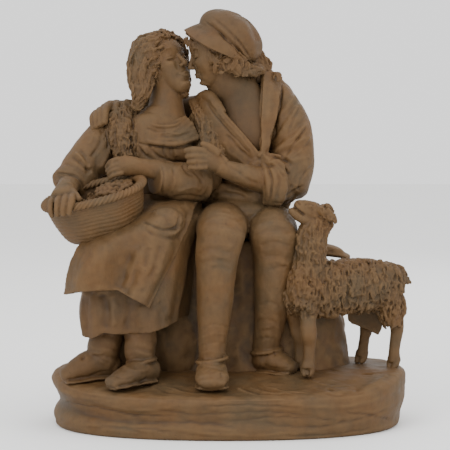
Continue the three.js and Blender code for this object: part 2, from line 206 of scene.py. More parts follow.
def strands(paths, radius, around=6):
    # Thin tapered tubes, all at once. paths is strands x points x 3, radius is strands x points.
    paths = np.asarray(paths, float)
    count, steps = paths.shape[:2]
    forward = unit(np.gradient(paths, axis=1))
    helper = np.where(np.abs(forward[..., 2:]) < 0.8, np.array(upwards), np.array([1.0, 0, 0]))
    across = unit(np.cross(forward, helper))
    front = np.cross(across, forward)
    a = np.linspace(0, tau, around, endpoint=False)
    ring = np.cos(a)[:, None] * across[:, :, None] + np.sin(a)[:, None] * front[:, :, None]
    tube = paths[:, :, None] + ring * radius[:, :, None, None]
    poles = np.stack([paths[:, 0] - forward[:, 0] * radius[:, :1] * 0.6,
                      paths[:, -1] + forward[:, -1] * radius[:, -1:] * 0.6], 1)
    points = np.concatenate([tube.reshape(count, -1, 3), poles], axis=1)
    here = np.arange(steps * around).reshape(steps, around)
    beside = np.roll(here, -1, axis=1)
    first, last = steps * around, steps * around + 1
    one = np.concatenate([
        np.stack([here[:-1], beside[:-1], beside[1:]], -1).reshape(-1, 3),
        np.stack([here[:-1], beside[1:], here[1:]], -1).reshape(-1, 3),
        np.stack([np.full(around, first), beside[0], here[0]], -1),
        np.stack([np.full(around, last), here[-1], beside[-1]], -1),
    ])
    step = points.shape[1]
    triangles = (one[None] + step * np.arange(count)[:, None, None]).reshape(-1, 3)
    return points.reshape(-1, 3), triangles


def joined(shapes):
    # all points in one list, with each shape's triangles counted on from the last
    offsets = np.cumsum([0] + [len(points) for points, _ in shapes[:-1]])
    return (np.concatenate([points for points, _ in shapes]),
            np.concatenate([triangles + k for (_, triangles), k in zip(shapes, offsets)]))


# Meshes

def asMesh(name, points, triangles):
    # the points and triangles as they are, in a new mesh
    mesh = bpy.data.meshes.new(name)
    mesh.vertices.add(len(points))
    mesh.vertices.foreach_set("co", np.asarray(points, np.float32).ravel())
    mesh.loops.add(triangles.size)
    mesh.loops.foreach_set("vertex_index", triangles.astype(np.int32).ravel())
    mesh.polygons.add(len(triangles))
    mesh.polygons.foreach_set("loop_start", np.arange(0, triangles.size, 3, dtype=np.int32))
    mesh.update(calc_edges=True)
    return mesh


def throughModifier(points, triangles, kind, **settings):
    # The same shape after one modifier, as (points, triangles).
    carrier = bpy.data.objects.new("carrier", asMesh("carrier", points, triangles))
    bpy.context.scene.collection.objects.link(carrier)
    modifier = carrier.modifiers.new(kind, kind)
    for setting, value in settings.items():
        setattr(modifier, setting, value)
    result = carrier.evaluated_get(bpy.context.evaluated_depsgraph_get()).to_mesh()
    points = np.zeros(len(result.vertices) * 3, np.float32)
    result.vertices.foreach_get("co", points)
    result.calc_loop_triangles()
    triangles = np.zeros(len(result.loop_triangles) * 3, np.int32)
    result.loop_triangles.foreach_get("vertices", triangles)
    mesh = carrier.data
    bpy.data.objects.remove(carrier)
    bpy.data.meshes.remove(mesh)
    return points.reshape(-1, 3).astype(float), triangles.reshape(-1, 3)


def fused(shapes, voxel):
    # One skin round everything that overlaps, on a grid of that many millimetres.
    return throughModifier(*joined(shapes), "REMESH", mode="VOXEL", voxel_size=voxel * coarse)


def thinned(points, triangles, most):
    # Edges are collapsed where the surface is flattest, until at most that many triangles are left.
    if len(triangles) <= most:
        return points, triangles
    return throughModifier(points, triangles, "DECIMATE", ratio=most / len(triangles))


def edgesOf(triangles):
    # both ends of every edge, once: the two numbers of an edge make one key, and equal keys fall together
    pairs = np.sort(np.concatenate([triangles[:, :2], triangles[:, 1:], triangles[:, ::2]]), axis=1)
    keys = np.unique(pairs[:, 0].astype(np.int64) << 32 | pairs[:, 1])
    return (keys >> 32).astype(np.int64), keys & 0xFFFFFFFF


def neighbourMean(values, edges):
    # the mean of the values at the far ends of each point's edges
    a, b = edges
    count = len(values)
    share = np.bincount(a, minlength=count) + np.bincount(b, minlength=count)
    total = [np.bincount(a, values[b, k], count) + np.bincount(b, values[a, k], count)
             for k in range(values.shape[1])]
    return np.stack(total, 1) / np.maximum(share, 1)[:, None]


def relaxed(points, edges, rounds, keep=0.0):
    # Each round moves a point half way to its neighbours' mean; keep pushes part of that back out.
    for _ in range(rounds):
        points = points + 0.5 * (neighbourMean(points, edges) - points)
        if keep:
            points = points - keep * (neighbourMean(points, edges) - points)
    return points


def skin(shapes, voxel, rounds, keep=0.0):
    # the shapes fused on a grid, facing outwards and smoothed
    points, triangles = outwards(*fused(shapes, voxel))
    return relaxed(points, edgesOf(triangles), rounds, keep), triangles


def normalsOf(points, triangles):
    # the sum of the area vectors of the faces round each point, made one long
    a, b, c = (points[triangles[:, k]] for k in range(3))
    area = np.cross(b - a, c - a)
    total = np.zeros_like(points)
    for k in range(3):
        for axis in range(3):
            total[:, axis] += np.bincount(triangles[:, k], area[:, axis], len(points))
    return unit(total)


def outwards(points, triangles):
    # The signed volume of a closed shape is negative where its faces point in.
    a, b, c = (points[triangles[:, k]] for k in range(3))
    volume = np.einsum("ij,ij->i", a, np.cross(b, c)).sum()
    return points, triangles if volume > 0 else triangles[:, ::-1]


def distanceTo(flat, path):
    # the shortest distance from each flat point to a chain of straight stretches, and where along it
    best, where = np.full(len(flat), 1e9), np.zeros(len(flat))
    path = np.asarray(path, float)
    for k in range(len(path) - 1):
        step = path[k + 1] - path[k]
        s = np.clip((flat - path[k]) @ step / (step @ step), 0, 1)
        away = np.linalg.norm(flat - path[k] - s[:, None] * step, axis=1)
        nearer = away < best
        best = np.where(nearer, away, best)
        where = np.where(nearer, (k + s) / (len(path) - 1), where)
    return best, where


# how the modelling tool wanders and presses, in mm, and the cells of the noise that it does it by
tool = {
    "wander": 0.9,
    "wanderCell": 7.0,
    "pressure": 0.85,
    "pressureSpread": 0.45,
    "pressureCell": 6.0,
}


def between(low, high, marks):
    # marks of (chain, width, height), each with the two depths that it lies between
    return [(*mark, low, high) for mark in marks]


def scaled(marks, width, height):
    # the same marks with their widths and heights multiplied
    return [(chain, width * wide, height * tall, low, high) for chain, wide, tall, low, high in marks]


def strokes(points, normals, marks, axes=(0, 2), side=towardsFront):
    # Tool marks on the side that faces one way. A mark is (chain of points, width, height, low, high):
    # height * bell(distance / width), fading out towards both ends, between two depths along the third
    # axis. Noise bends each mark a little and makes it stronger and weaker.
    bent = np.stack([noise(points, tool["wanderCell"], seed) for seed in (301, 302)], 1)
    strength = tool["pressure"] + tool["pressureSpread"] * noise(points, tool["pressureCell"], 303)
    flat = points[:, list(axes)] + tool["wander"] * bent
    depth = points[:, 3 - sum(axes)]
    facing = ease(normals @ np.asarray(side), 0.0, 0.35)
    total = np.zeros(len(points))
    for chain, width, height, low, high in marks:
        lows, highs = np.min(chain, axis=0) - 3 * width, np.max(chain, axis=0) + 3 * width
        inside = np.all((flat > lows) & (flat < highs), axis=1)
        near = np.flatnonzero(inside & (depth > low) & (depth < high))
        smooth = through(chain, np.linspace(0, 1, 5 * len(chain) - 4))[0]
        away, where = distanceTo(flat[near], smooth)
        ends = ease(where, -0.02, 0.12) * ease(1 - where, -0.02, 0.12)
        total[near] += height * strength[near] * bump(away, 0, width) * ends * facing[near]
    return points + normals * total[:, None]


# what counts as standing out, finely and broadly: rounds of smoothing, and the height in mm that gives 1
standingOut = {"fine": (6, 0.5), "broad": (45, 2.4)}


def finished(name, points, triangles, most, shade=lambda p: np.zeros(len(p))):
    # Thin the mesh, note at each point how far it stands out, and hand it to the frame: the height over
    # the smoothed mesh, along the normal. shade(points) is how far the clay there is darkened: with age in
    # some pieces, and as painted shade under the man's chin and cap peak.
    points, triangles = outwards(*thinned(points, triangles, most))
    edges = edgesOf(triangles)
    normals = normalsOf(points, triangles)
    notes = {label: np.einsum("ij,ij->i", points - relaxed(points, edges, rounds), normals) / full
             for label, (rounds, full) in standingOut.items()}
    notes["tone"] = shade(points)
    mesh = asMesh(name, (points + (centring, 0, 0)) * 0.001, triangles)
    for label, values in notes.items():
        layer = mesh.attributes.new(label, "FLOAT", "POINT")
        layer.data.foreach_set("value", np.clip(values, -1, 1).astype(np.float32))
    mesh.polygons.foreach_set("use_smooth", np.ones(len(triangles), bool))
    mesh.materials.append(clay)
    piece = bpy.data.objects.new(name, mesh)
    bpy.context.scene.collection.objects.link(piece)
    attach(piece, "root")
    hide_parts(groupNode)
    print(name, len(triangles), "triangles")


# The finish: fired clay, paler where it stands out, with wear and a painted highlight, and darker where it
# lies deep, with old dirt and painted shade

finish = {
    "clay": (0.088, 0.0430, 0.0137, 1),
    "coolClay": (0.066, 0.0410, 0.0180, 1),
    # pale clay for worn ridges, grains and the painted highlight on what stands out
    "bloomAndHighlight": (0.125, 0.072, 0.031, 1),
    # dark brown for old dirt, pits, painted shade in hollows and the darkening noted as tone
    "dirtAndShade": (0.018, 0.0090, 0.0040, 1),
    "roughness": 0.64,
    "gloss": 0.24,
    "grain": 0.4,
    "grainHeight": 0.0004,
    "bloomAndHighlightShare": 0.75,
    "dirtAndShadeShare": 0.75,
    "pitShare": 0.4,
    "grainShare": 0.35,
    "toneShare": 0.8,
}


def node(tree, kind, values=None, **settings):
    # one shader node: settings are its own properties, values fill or link its sockets
    made = tree.nodes.new(kind)
    for name, value in settings.items():
        setattr(made, name, value)
    for name, value in (values or {}).items():
        if isinstance(value, bpy.types.NodeSocket):
            tree.links.new(value, made.inputs[name])
        else:
            made.inputs[name].default_value = value
    return made


def mixed(tree, factor, first, second, kind="MIX"):
    # a colour between first and second, or their product
    values = {0: factor, 6: first, 7: second}
    return node(tree, "ShaderNodeMix", values, data_type="RGBA", blend_type=kind).outputs[2]


def spread(tree, value, low, high, least=0.0, most=1.0):
    # a value from low to high becomes one from least to most
    values = {"Value": value, "From Min": low, "From Max": high, "To Min": least, "To Max": most}
    return node(tree, "ShaderNodeMapRange", values).outputs["Result"]


def calculated(tree, kind, first, second):
    # first and second through one arithmetic node
    return node(tree, "ShaderNodeMath", {0: first, 1: second}, operation=kind).outputs[0]


def clayPattern():
    # Colour, roughness and fine relief of the clay, from object coordinates and the mesh's own attributes
    tree = bpy.data.node_groups.new("clayPattern", "ShaderNodeTree")
    for label, kind in (("Color", "Color"), ("Roughness", "Float"), ("Normal", "Vector")):
        tree.interface.new_socket(label, in_out="OUTPUT", socket_type="NodeSocket" + kind)
    place = node(tree, "ShaderNodeTexCoord").outputs["Object"]

    def noiseAt(scale, detail=4.0, stretch=(1, 1, 1)):
        # noise with that many cells to the metre, drawn out along an axis where its stretch is small
        moved = node(tree, "ShaderNodeMapping", {"Vector": place, "Scale": stretch}).outputs[0]
        values = {"Vector": moved, "Scale": scale, "Detail": detail, "Roughness": 0.55}
        return node(tree, "ShaderNodeTexNoise", values).outputs[0]

    def attribute(label):
        # what the mesh notes at each point: see finished
        return node(tree, "ShaderNodeAttribute", attribute_name=label).outputs["Fac"]

    def weighted(first, firstShare, second, secondShare):
        # firstShare * first + secondShare * second
        shares = [calculated(tree, "MULTIPLY", value, share)
                  for value, share in ((first, firstShare), (second, secondShare))]
        return calculated(tree, "ADD", *shares)

    patches = noiseAt(34)
    mottle = noiseAt(210, 5)
    dust = noiseAt(75, 6)
    fine, broad, tone = attribute("fine"), attribute("broad"), attribute("tone")
    colour = mixed(tree, spread(tree, patches, 0.38, 0.66), finish["clay"], finish["coolClay"])
    shade = spread(tree, mottle, 0.3, 0.7, 0.88, 1.10)
    grey = node(tree, "ShaderNodeCombineColor", {0: shade, 1: shade, 2: shade}).outputs[0]
    colour = mixed(tree, 1.0, colour, grey, "MULTIPLY")
    # pale bloom of wear and a painted highlight on what stands out, finely and broadly, and where dust has
    # settled
    standing = weighted(fine, 0.55, broad, 0.25)
    dustAndHighlight = calculated(tree, "ADD", standing, spread(tree, dust, 0.35, 0.75, -0.15, 0.45))
    colour = mixed(tree, spread(tree, dustAndHighlight, 0.0, 0.9, 0.0, finish["bloomAndHighlightShare"]), colour,
                   finish["bloomAndHighlight"])
    # old dirt and painted shade in what lies deep, then pits, pale grains, and the darkening noted as tone,
    # which is partly painted shade
    sunk = weighted(fine, -0.5, broad, -0.4)
    dirtAndShadeAmount = calculated(tree, "ADD", sunk, spread(tree, mottle, 0.35, 0.7, -0.12, 0.12))
    colour = mixed(tree, spread(tree, dirtAndShadeAmount, 0.1, 1.0, 0.0, finish["dirtAndShadeShare"]), colour, finish["dirtAndShade"])
    pits = spread(tree, noiseAt(520, 2), 0.68, 0.76, 0.0, finish["pitShare"])
    colour = mixed(tree, pits, colour, finish["dirtAndShade"])
    grains = spread(tree, noiseAt(640, 2, (1, 1.1, 0.9)), 0.70, 0.78, 0.0, finish["grainShare"])
    colour = mixed(tree, grains, colour, finish["bloomAndHighlight"])
    colour = mixed(tree, spread(tree, tone, 0.0, 1.0, 0.0, finish["toneShare"]), colour, finish["dirtAndShade"])
    rough = spread(tree, dustAndHighlight, -0.3, 0.8, finish["roughness"] - 0.08, finish["roughness"] + 0.12)
    height = weighted(noiseAt(900, 3), 1.0, noiseAt(260, 3, (1, 1, 0.35)), 1.4)
    values = {"Height": height, "Strength": finish["grain"], "Distance": finish["grainHeight"]}
    relief = node(tree, "ShaderNodeBump", values)
    values = {"Color": colour, "Roughness": rough, "Normal": relief.outputs[0]}
    output = node(tree, "NodeGroupOutput", values)
    output.is_active_output = True
    return tree


def terracotta():
    # the one material: the clay's pattern on a plain shader with little gloss
    material = bpy.data.materials.new("terracotta")
    material.use_nodes = True
    tree = material.node_tree
    tree.nodes.clear()
    pattern = node(tree, "ShaderNodeGroup", node_tree=clayPattern())
    values = {"Base Color": pattern.outputs["Color"], "Roughness": pattern.outputs["Roughness"],
              "Normal": pattern.outputs["Normal"], "Specular IOR Level": finish["gloss"]}
    surface = node(tree, "ShaderNodeBsdfPrincipled", values)
    node(tree, "ShaderNodeOutputMaterial", {"Surface": surface.outputs[0]})
    return material


clay = terracotta()
print("finish made")


# The base: a rounded oblong slab with uneven ends, whose ground rises from the front lip to the rock

base = {
    "halfLength": 137.0,
    "halfDepth": 88.0,
    "squareness": 2.35,
    "lipHeight": 33.0,
    "groundHeight": 42.0,
    "sideRoughness": 1.0,
    "groundRoughness": 0.8,
    "triangles": 80000,
}

# height, inset, and how much further in the left and right ends are
baseEdge = [
    (0, 4, 0, 3), (2, 1.6, 0, 3), (8, 0.6, 0, 3), (15, 2.2, 3.4, -1.4), (21, 1.6, 2.4, -1.2),
    (27, 0, 0, 0), (31, 0.6, 0, 0), (33, 3.2, 0, 0),
]

# lines on the ground, in X and Y: width and height of each
groundMarks = [
    ([(5, -54), (13, -68), (21, -78), (38, -80)], 1.5, 1.3),
    ([(8, -53), (17, -65), (26, -74), (44, -76)], 0.8, -1.2),
    ([(13, -52), (22, -64), (31, -72), (50, -74)], 1.5, 1.5),
    ([(19, -51), (28, -62), (38, -70), (56, -72)], 0.8, -1.2),
    ([(24, -50), (33, -60), (43, -67), (60, -70)], 1.4, 1.1),
    ([(-58, -52), (-47, -66), (-33, -76), (-20, -80)], 1.0, -1.2),
    ([(-52, -50), (-41, -62), (-28, -70), (-16, -72)], 1.6, 0.9),
    ([(51, -12), (69, 5), (84, -20)], 0.9, -0.9),
    ([(69, -76), (85, -72), (98, -58)], 1.0, -1.0),
    ([(100, -28), (106, -26), (110, -29)], 1.6, -1.6),
    ([(74, -60), (78, -66)], 1.5, -1.5),
    ([(100, -60), (112, -48), (120, -30)], 1.4, 0.9),
    ([(62, -40), (74, -52), (92, -54)], 1.3, 0.8),
]

# lines round the edge seen from the front, in X and Z
edgeMarks = [
    ([(-120, 17), (-80, 12), (-30, 14), (10, 10)], 1.1, -0.9),
    ([(-60, 24), (-20, 20), (30, 22), (70, 17)], 1.0, -0.8),
    ([(20, 14), (60, 10), (100, 14), (128, 20)], 1.2, -0.9),
    ([(-100, 26), (-70, 22), (-40, 25)], 1.4, 0.8),
    ([(40, 27), (80, 24), (118, 28)], 1.5, 0.9),
    ([(-30, 7), (20, 5), (70, 7)], 1.2, 0.8),
    ([(-110, 6), (-85, 8), (-60, 5)], 1.0, -0.8),
    ([(85, 20), (105, 16), (122, 8)], 0.9, -1.0),
    ([(-128, 21), (-105, 22), (-70, 18), (-35, 19)], 0.7, -0.9),
    ([(-20, 26), (15, 27), (60, 25)], 0.8, -0.9),
    ([(-90, 9), (-50, 8), (-10, 4)], 0.8, -0.8),
    ([(0, 15), (40, 18), (85, 14)], 0.7, -0.8),
    ([(35, 4), (75, 3), (112, 6)], 0.9, -0.8),
]


def groundLevel(x, y):
    # from the lip up to the ground under the seat, and a little more towards the lamb
    rise = (base["groundHeight"] - base["lipHeight"]) * ease(y + base["halfDepth"], 10, 80)
    return base["lipHeight"] + rise + 2 * ease(x, 60, base["halfLength"])


def baseOutline(angle, inset, left, right):
    # x = (half length - inset) * cos(a) to a power, y the same with the half depth and the sine
    cosine, sine = np.cos(angle), np.sin(angle)
    tucked = inset + np.maximum(0, -cosine) * left + np.maximum(0, cosine) * right
    power = 2 / base["squareness"]
    x = (base["halfLength"] - tucked) * signedPower(cosine, power)
    return x, (base["halfDepth"] - tucked) * signedPower(sine, power)


def makeBase():
    # Rings up the wall and in over the ground to the middle, roughened along their normals. The wall's
    # noise is drawn out lengthwise, as it was pressed on in strips.
    angle = np.linspace(0, tau, int(520 / coarse), endpoint=False)[None, :]
    levels = through(baseEdge, np.linspace(0, 1, 40))[0][..., None]
    wallX, wallY = baseOutline(angle, levels[:, 1], levels[:, 2], levels[:, 3])
    wallZ = levels[:, 0] / base["lipHeight"] * (groundLevel(wallX, wallY) - 1.0)
    shrink = np.linspace(0.965, 0.015, 60)[:, None]
    groundX, groundY = baseOutline(angle, 3.2, 0, 0)
    groundX, groundY = groundX * shrink, groundY * shrink
    groundZ = groundLevel(groundX, groundY) - 0.3 * (shrink / 0.965) ** 8
    pairs = (wallX, groundX), (wallY, groundY), (wallZ, groundZ)
    rings = np.stack([np.concatenate(pair) for pair in pairs], -1)
    points, triangles = outwards(*closed(rings, (0, 0, 0), (0, 0, base["groundHeight"])))
    normals = normalsOf(points, triangles)
    flat = ease(normals[:, 2], 0.3, 0.8)
    lifted = ease(points[:, 2], 0.5, 4)
    strips = layered(points * (0.16, 0.16, 1), 5, 11)
    side = layered(points, 34, 3) + 0.42 * strips + 0.12 * layered(points, 4, 21, 2)
    top = 1.1 * layered(points, 24, 31) + 0.4 * layered(points, 7, 37) + 0.14 * layered(points, 3, 41, 2)
    height = (1 - flat) * side * base["sideRoughness"] + flat * top * base["groundRoughness"]
    points = points + normals * (height * lifted)[:, None]
    points = strokes(points, normals, between(25, 60, groundMarks), (0, 1), upwards)
    points = strokes(points, normals, between(-100, 20, edgeMarks))
    points[:, 2] = np.maximum(points[:, 2], 0)
    finished("base", points, triangles, base["triangles"])


# The rock that they sit on, with a boulder at its foot and a folded blanket at the lamb's end

rock = {
    "middle": (5.0, 32.0),
    "halfLength": 88.0,
    "halfDepth": 46.0,
    "squareness": 3.0,
    "roughness": 1.0,
    "voxel": 1.1,
    "triangles": 30000,
}

# height and spread
rockLevels = [
    (34, 1.07), (44, 1.02), (60, 0.99), (90, 0.95), (116, 0.985), (134, 0.975), (140, 0.94), (141, 0.86),
]

# the lower and the upper layer of the blanket, as stations of a sweep
blanket = [
    [(58, 10, 131, 13, 2.8), (76, 10, 131, 13, 2.8), (88, 9, 129.5, 12, 2.5), (93.5, 8, 127.5, 10, 2)],
    [(58, 11, 136, 12, 2.4), (74, 11, 135.8, 12, 2.4), (84, 10, 134, 11, 2), (88.5, 10, 132, 9, 1.6)],
]


def makeRock():
    # Rounded oblong rings, drawn in under the blanket, with a stone at each foot. The crags are -|noise|,
    # whose ridges are sharp, and they fade out on the blanket.
    angle = np.linspace(0, tau, int(260 / coarse), endpoint=False)[None, :]
    levels = through(rockLevels, np.linspace(0, 1, int(90 / coarse)))[0]
    height, spreads = levels[:, :1], levels[:, 1:]
    power = 2 / rock["squareness"]
    x = rock["middle"][0] + rock["halfLength"] * spreads * signedPower(np.cos(angle), power)
    y = rock["middle"][1] + rock["halfDepth"] * spreads * signedPower(np.sin(angle), power)
    x = x - 0.6 * np.maximum(x - 56, 0) * ease(height, 104, 136)
    rings = np.stack([x, y, np.broadcast_to(height, x.shape)], -1)
    stone = closed(rings, (*rock["middle"], 33), (*rock["middle"], 142))
    boulder = blob((-42, -6, 60), (19, 16, 30))
    foot = blob((-80, 3, 56), (13, 18, 27))
    layers = [sweep(layer, upwards) for layer in blanket]
    points, triangles = skin([stone, boulder, foot, *layers], rock["voxel"], 3)
    normals = normalsOf(points, triangles)
    crags = np.abs(layered(points * (1, 1, 0.7), 26, 5)) * -3.0 + 1.4
    height = crags + layered(points, 9, 15) * 0.8 + layered(points, 3.4, 25, 2) * 0.2
    height = height * (1 - 0.9 * ease(points[:, 0], 60, 68) * ease(points[:, 2], 122, 127))
    points = points + normals * (height * rock["roughness"])[:, None]
    finished("rockSeat", points, triangles, rock["triangles"])


# Parts that both figures share

def gathers(depth, count, lean=0.4, seed=0, reach=0.75):
    # Creased cloth: |noise| on a cylinder, whose valleys are sharp and whose rolls are round. The count is
    # how many cells of it lie along the limb, the lean how far they slope round it.
    def relief(t, a):
        # depth * (1.7 * |noise| + 0.6 * broader noise), at the place t along and a round the cylinder
        t, a = np.broadcast_arrays(t, a)
        place = np.stack([reach * np.cos(a), reach * np.sin(a), count * t + lean * np.sin(a + seed)], -1)
        crease = np.abs(noise(place + 3.7 * seed, 1.0, int(10 * seed)))
        broad = noise(place * 0.6 + 9.1, 1.0, int(10 * seed) + 5)
        return depth * (1.7 * crease - 0.5 + 0.6 * broad)
    return relief


def chained(first, last, share):
    # a chain of points that lies that share of the way from the first chain to the last
    return np.asarray(first, float) + (np.asarray(last, float) - np.asarray(first, float)) * share


def hand(palm, index, little, thumb, radius=2.6, facing=towardsFront):
    # A flat palm, four fingers whose chains are shared out evenly between the index and the little one,
    # and a thumb. Each grows thinner evenly to its tip.
    shapes = [sweep(palm, facing, 40, 30, 0.7)]
    for k, size in enumerate((1.0, 1.06, 1.0, 0.88)):
        chain = chained(index, little, k / 3)
        sizes = radius * size * np.linspace(1.1, 0.82, len(chain))
        shapes.append(sweep(np.c_[chain, sizes, sizes], facing, 24, 24, 0.85))
    sizes = radius * np.linspace(1.45, 0.95, len(thumb))
    shapes.append(sweep(np.c_[np.asarray(thumb, float), sizes, sizes], facing, 24, 24, 0.85))
    return shapes


def ringRound(centre, across, front, wide, deep, radius, tall=None):
    # a rounded rim or band: centre + wide * cos(a) * across + deep * sin(a) * front, closed on itself
    a = np.linspace(0, tau * 1.02, 48)[:, None]
    path = np.asarray(centre, float) + wide * np.cos(a) * unit(across) + deep * np.sin(a) * unit(front)
    sizes = np.full((len(a), 2), (radius, tall or radius))
    return sweep(np.c_[path, sizes], np.cross(across, front), 24, 120, 0.3)


def closeness(points, others, edges, cell=1.6):
    # 1 where a point's cell of a grid, or one beside it, holds one of the others, and 0 elsewhere, blurred
    low = np.minimum(points.min(0), others.min(0)) - 3 * cell
    counts = ((np.maximum(points.max(0), others.max(0)) - low) / cell).astype(int) + 4
    grid = np.zeros(counts, np.float32)
    grid[tuple(((others - low) / cell).astype(int).T)] = 1
    for axis in range(3):
        grid = np.maximum(grid, np.maximum(np.roll(grid, 1, axis), np.roll(grid, -1, axis)))
    weight = grid[tuple(((points - low) / cell).astype(int).T)]
    for _ in range(4):
        weight = neighbourMean(weight[:, None], edges)[:, 0]
    return weight


def matted(points, normals, weight, cell, height, seed, stretch=(1, 1, 0.26)):
    # Matted wool or hair: 1 - |noise|, whose ridges are sharp, drawn out downwards, with crumbs and pricks
    warped = points + 0.45 * cell * np.stack([noise(points, 1.8 * cell, seed + k) for k in range(3)], 1)
    creases = 0.9 - 2.8 * np.abs(noise(warped * stretch, cell, seed + 3))
    crumbs = 0.5 - 1.2 * np.abs(noise(warped * (1, 1, 0.45), 0.55 * cell, seed + 4))
    pricks = ease(noise(points * (1, 1, 0.7), 0.9 * cell, seed + 5), 0.6, 0.85)
    return points + normals * (height * weight * (0.65 * creases + 0.4 * crumbs - 0.8 * pricks))[:, None]


def modelled(shapes, voxel, rounds=3, grain=0.16, marks=(), behind=(), seed=0, locks=(), matting=None):
    # Shapes fused into one skin, smoothed, given the marks of the modelling tool in front and behind, and
    # an uneven surface. Where the locks are, it is matted by (cell, height).
    points, triangles = skin([*shapes, *locks], voxel, rounds, 0.5)
    normals = normalsOf(points, triangles)
    points = strokes(points, normals, marks)
    if behind:
        points = strokes(points, normals, behind, side=(0, 1, 0))
    if locks:
        weight = closeness(points, joined(locks)[0], edgesOf(triangles))
        points = matted(points, normals, weight, *matting, seed)
    drawn = points * (1, 1, 0.6)
    uneven = layered(drawn, 8, seed) * grain * 1.6 + layered(drawn, 2.6, seed + 3, 2) * grain
    return points + normals * uneven[:, None], triangles


# The woman's skirt, apron, stockings and shoes

skirt = {
    "foldDepth": 1.0,
    "squareness": 2.4,
    "apronThickness": 3.4,
    "markWidth": 1.25,
    "markHeight": 0.8,
    "tone": 0.28,
    "voxel": 0.75,
    "triangles": 100000,
}

# height, centre x and y, half width and half depth, depth of the folds, sideways slope
skirtLevels = [
    (178, -50, 18, 25, 22, 0.2, 0.05), (166, -51, 10, 30, 33, 0.3, 0.1),
    (154, -60, -4, 41, 43, 0.5, 0.15), (134, -69, -14, 43, 42, 1.2, 0.05),
    (106, -72, -20, 41, 37, 2.4, 0), (90, -74, -23, 41, 36, 3.0, 0.02),
    (75, -74, -24, 39, 35, 3.4, 0.0),
]

# the hem's height over X
hemLine = [(-118, 75), (-110, 73), (-104, 72), (-94, 77), (-79, 76), (-58, 78), (-47, 81), (-34, 86)]

# the apron from waist to hem, and left to right in each row
apronNet = [
    [(-80, 0, 176), (-66, -9, 177), (-50, -13, 176), (-34, -10, 175), (-22, 2, 173)],
    [(-98, -24, 152), (-80, -31, 157), (-60, -37, 167), (-42, -38, 170), (-26, -22, 169)],
    [(-110, -45, 143), (-92, -55, 148), (-70, -58, 155), (-49, -60, 163), (-29, -38, 160)],
    [(-117, -50, 132), (-95, -65, 138), (-75, -61, 141), (-55, -67, 144), (-35, -46, 146)],
    [(-121, -50, 119), (-102, -67, 123), (-80, -60, 122), (-60, -69, 122), (-43, -53, 129)],
    [(-124, -46, 104), (-106, -66, 109), (-83, -61, 109), (-70, -69, 103), (-59, -65, 96)],
]

# lines in X and Z with their width and height, between two depths in Y, as for every figure's marks
skirtMarks = between(-90, -40, [
    ([(-74, 140), (-76, 128), (-80, 117), (-82, 109)], 2.6, -2.6),
    ([(-67, 142), (-70, 130), (-73, 120), (-77, 110)], 2.2, 1.6),
    ([(-59, 142), (-61, 134), (-64, 127)], 1.6, -1.5),
    ([(-62, 143), (-65, 133), (-68, 124)], 2.2, 1.0),
    ([(-50, 143), (-54, 130), (-59, 117)], 1.7, -1.3),
    ([(-46, 146), (-49, 134), (-55, 120)], 2.2, 1.0),
    ([(-54, 128), (-60, 118), (-66, 108)], 1.5, -0.9),
    ([(-90, 146), (-94, 130), (-96, 114)], 3.0, 1.0),
]) + between(-90, -30, [
    ([(-102, 146), (-105, 130), (-107, 114)], 2.4, -0.9),
    ([(-112, 142), (-114, 128), (-117, 112)], 2.0, 0.9),
    ([(-95, 106), (-92, 97), (-91, 79)], 2.4, -2.8),
    ([(-88, 106), (-86, 94), (-87, 80)], 2.2, 1.6),
    ([(-104, 106), (-102, 92), (-99, 81)], 2.2, 1.2),
    ([(-73, 101), (-75, 89), (-76, 79)], 2.2, -1.4),
    ([(-66, 98), (-66, 88), (-64, 80)], 2.2, 1.2),
    ([(-54, 100), (-49, 92), (-43, 84)], 2.2, -1.5),
    ([(-80, 52), (-72, 50), (-60, 48)], 1.0, 1.1),
    ([(-126, 40), (-116, 40), (-104, 43), (-92, 46)], 0.8, -1.0),
]) + between(-90, -20, [
    ([(-110, 104), (-109, 92), (-107, 76)], 1.8, -1.2),
    ([(-112, 55), (-109, 57)], 1.1, -2.2),
    ([(-104, 60), (-98, 55), (-90, 52)], 1.0, -0.8),
    ([(-104, 64), (-95, 62), (-86, 62)], 1.2, 0.8),
]) + between(-60, 10, [
    ([(-61, 178), (-49, 174), (-33, 173)], 1.6, -1.6),
    ([(-61, 181), (-49, 178), (-33, 177)], 1.8, 1.2),
]) + between(-80, -20, [
    ([(-30, 168), (-33, 156), (-38, 145)], 1.4, -1.2),
    ([(-63, 155), (-55, 151), (-46, 148), (-38, 148), (-32.5, 154), (-31, 161)], 1.0, -1.5),
    ([(-79, 54), (-69, 56), (-57, 53)], 1.0, -1.0),
    ([(-79, 60), (-69, 62), (-57, 58)], 1.2, 0.8),
]) + between(-80, -30, [
    ([(-66, 161), (-60, 159), (-54, 156.5), (-47, 154.5), (-40, 154.5), (-37.5, 159), (-37, 165)],
     0.8, -1.7),
    ([(-54, 166), (-48, 168), (-41, 166)], 1.4, -0.8),
]) + between(-95, -30, [
    ([(-90, 39), (-80, 36), (-70, 38), (-60, 44)], 0.8, -1.0),
    ([(-84, 47), (-78, 44), (-70, 45)], 0.8, -0.8),
])


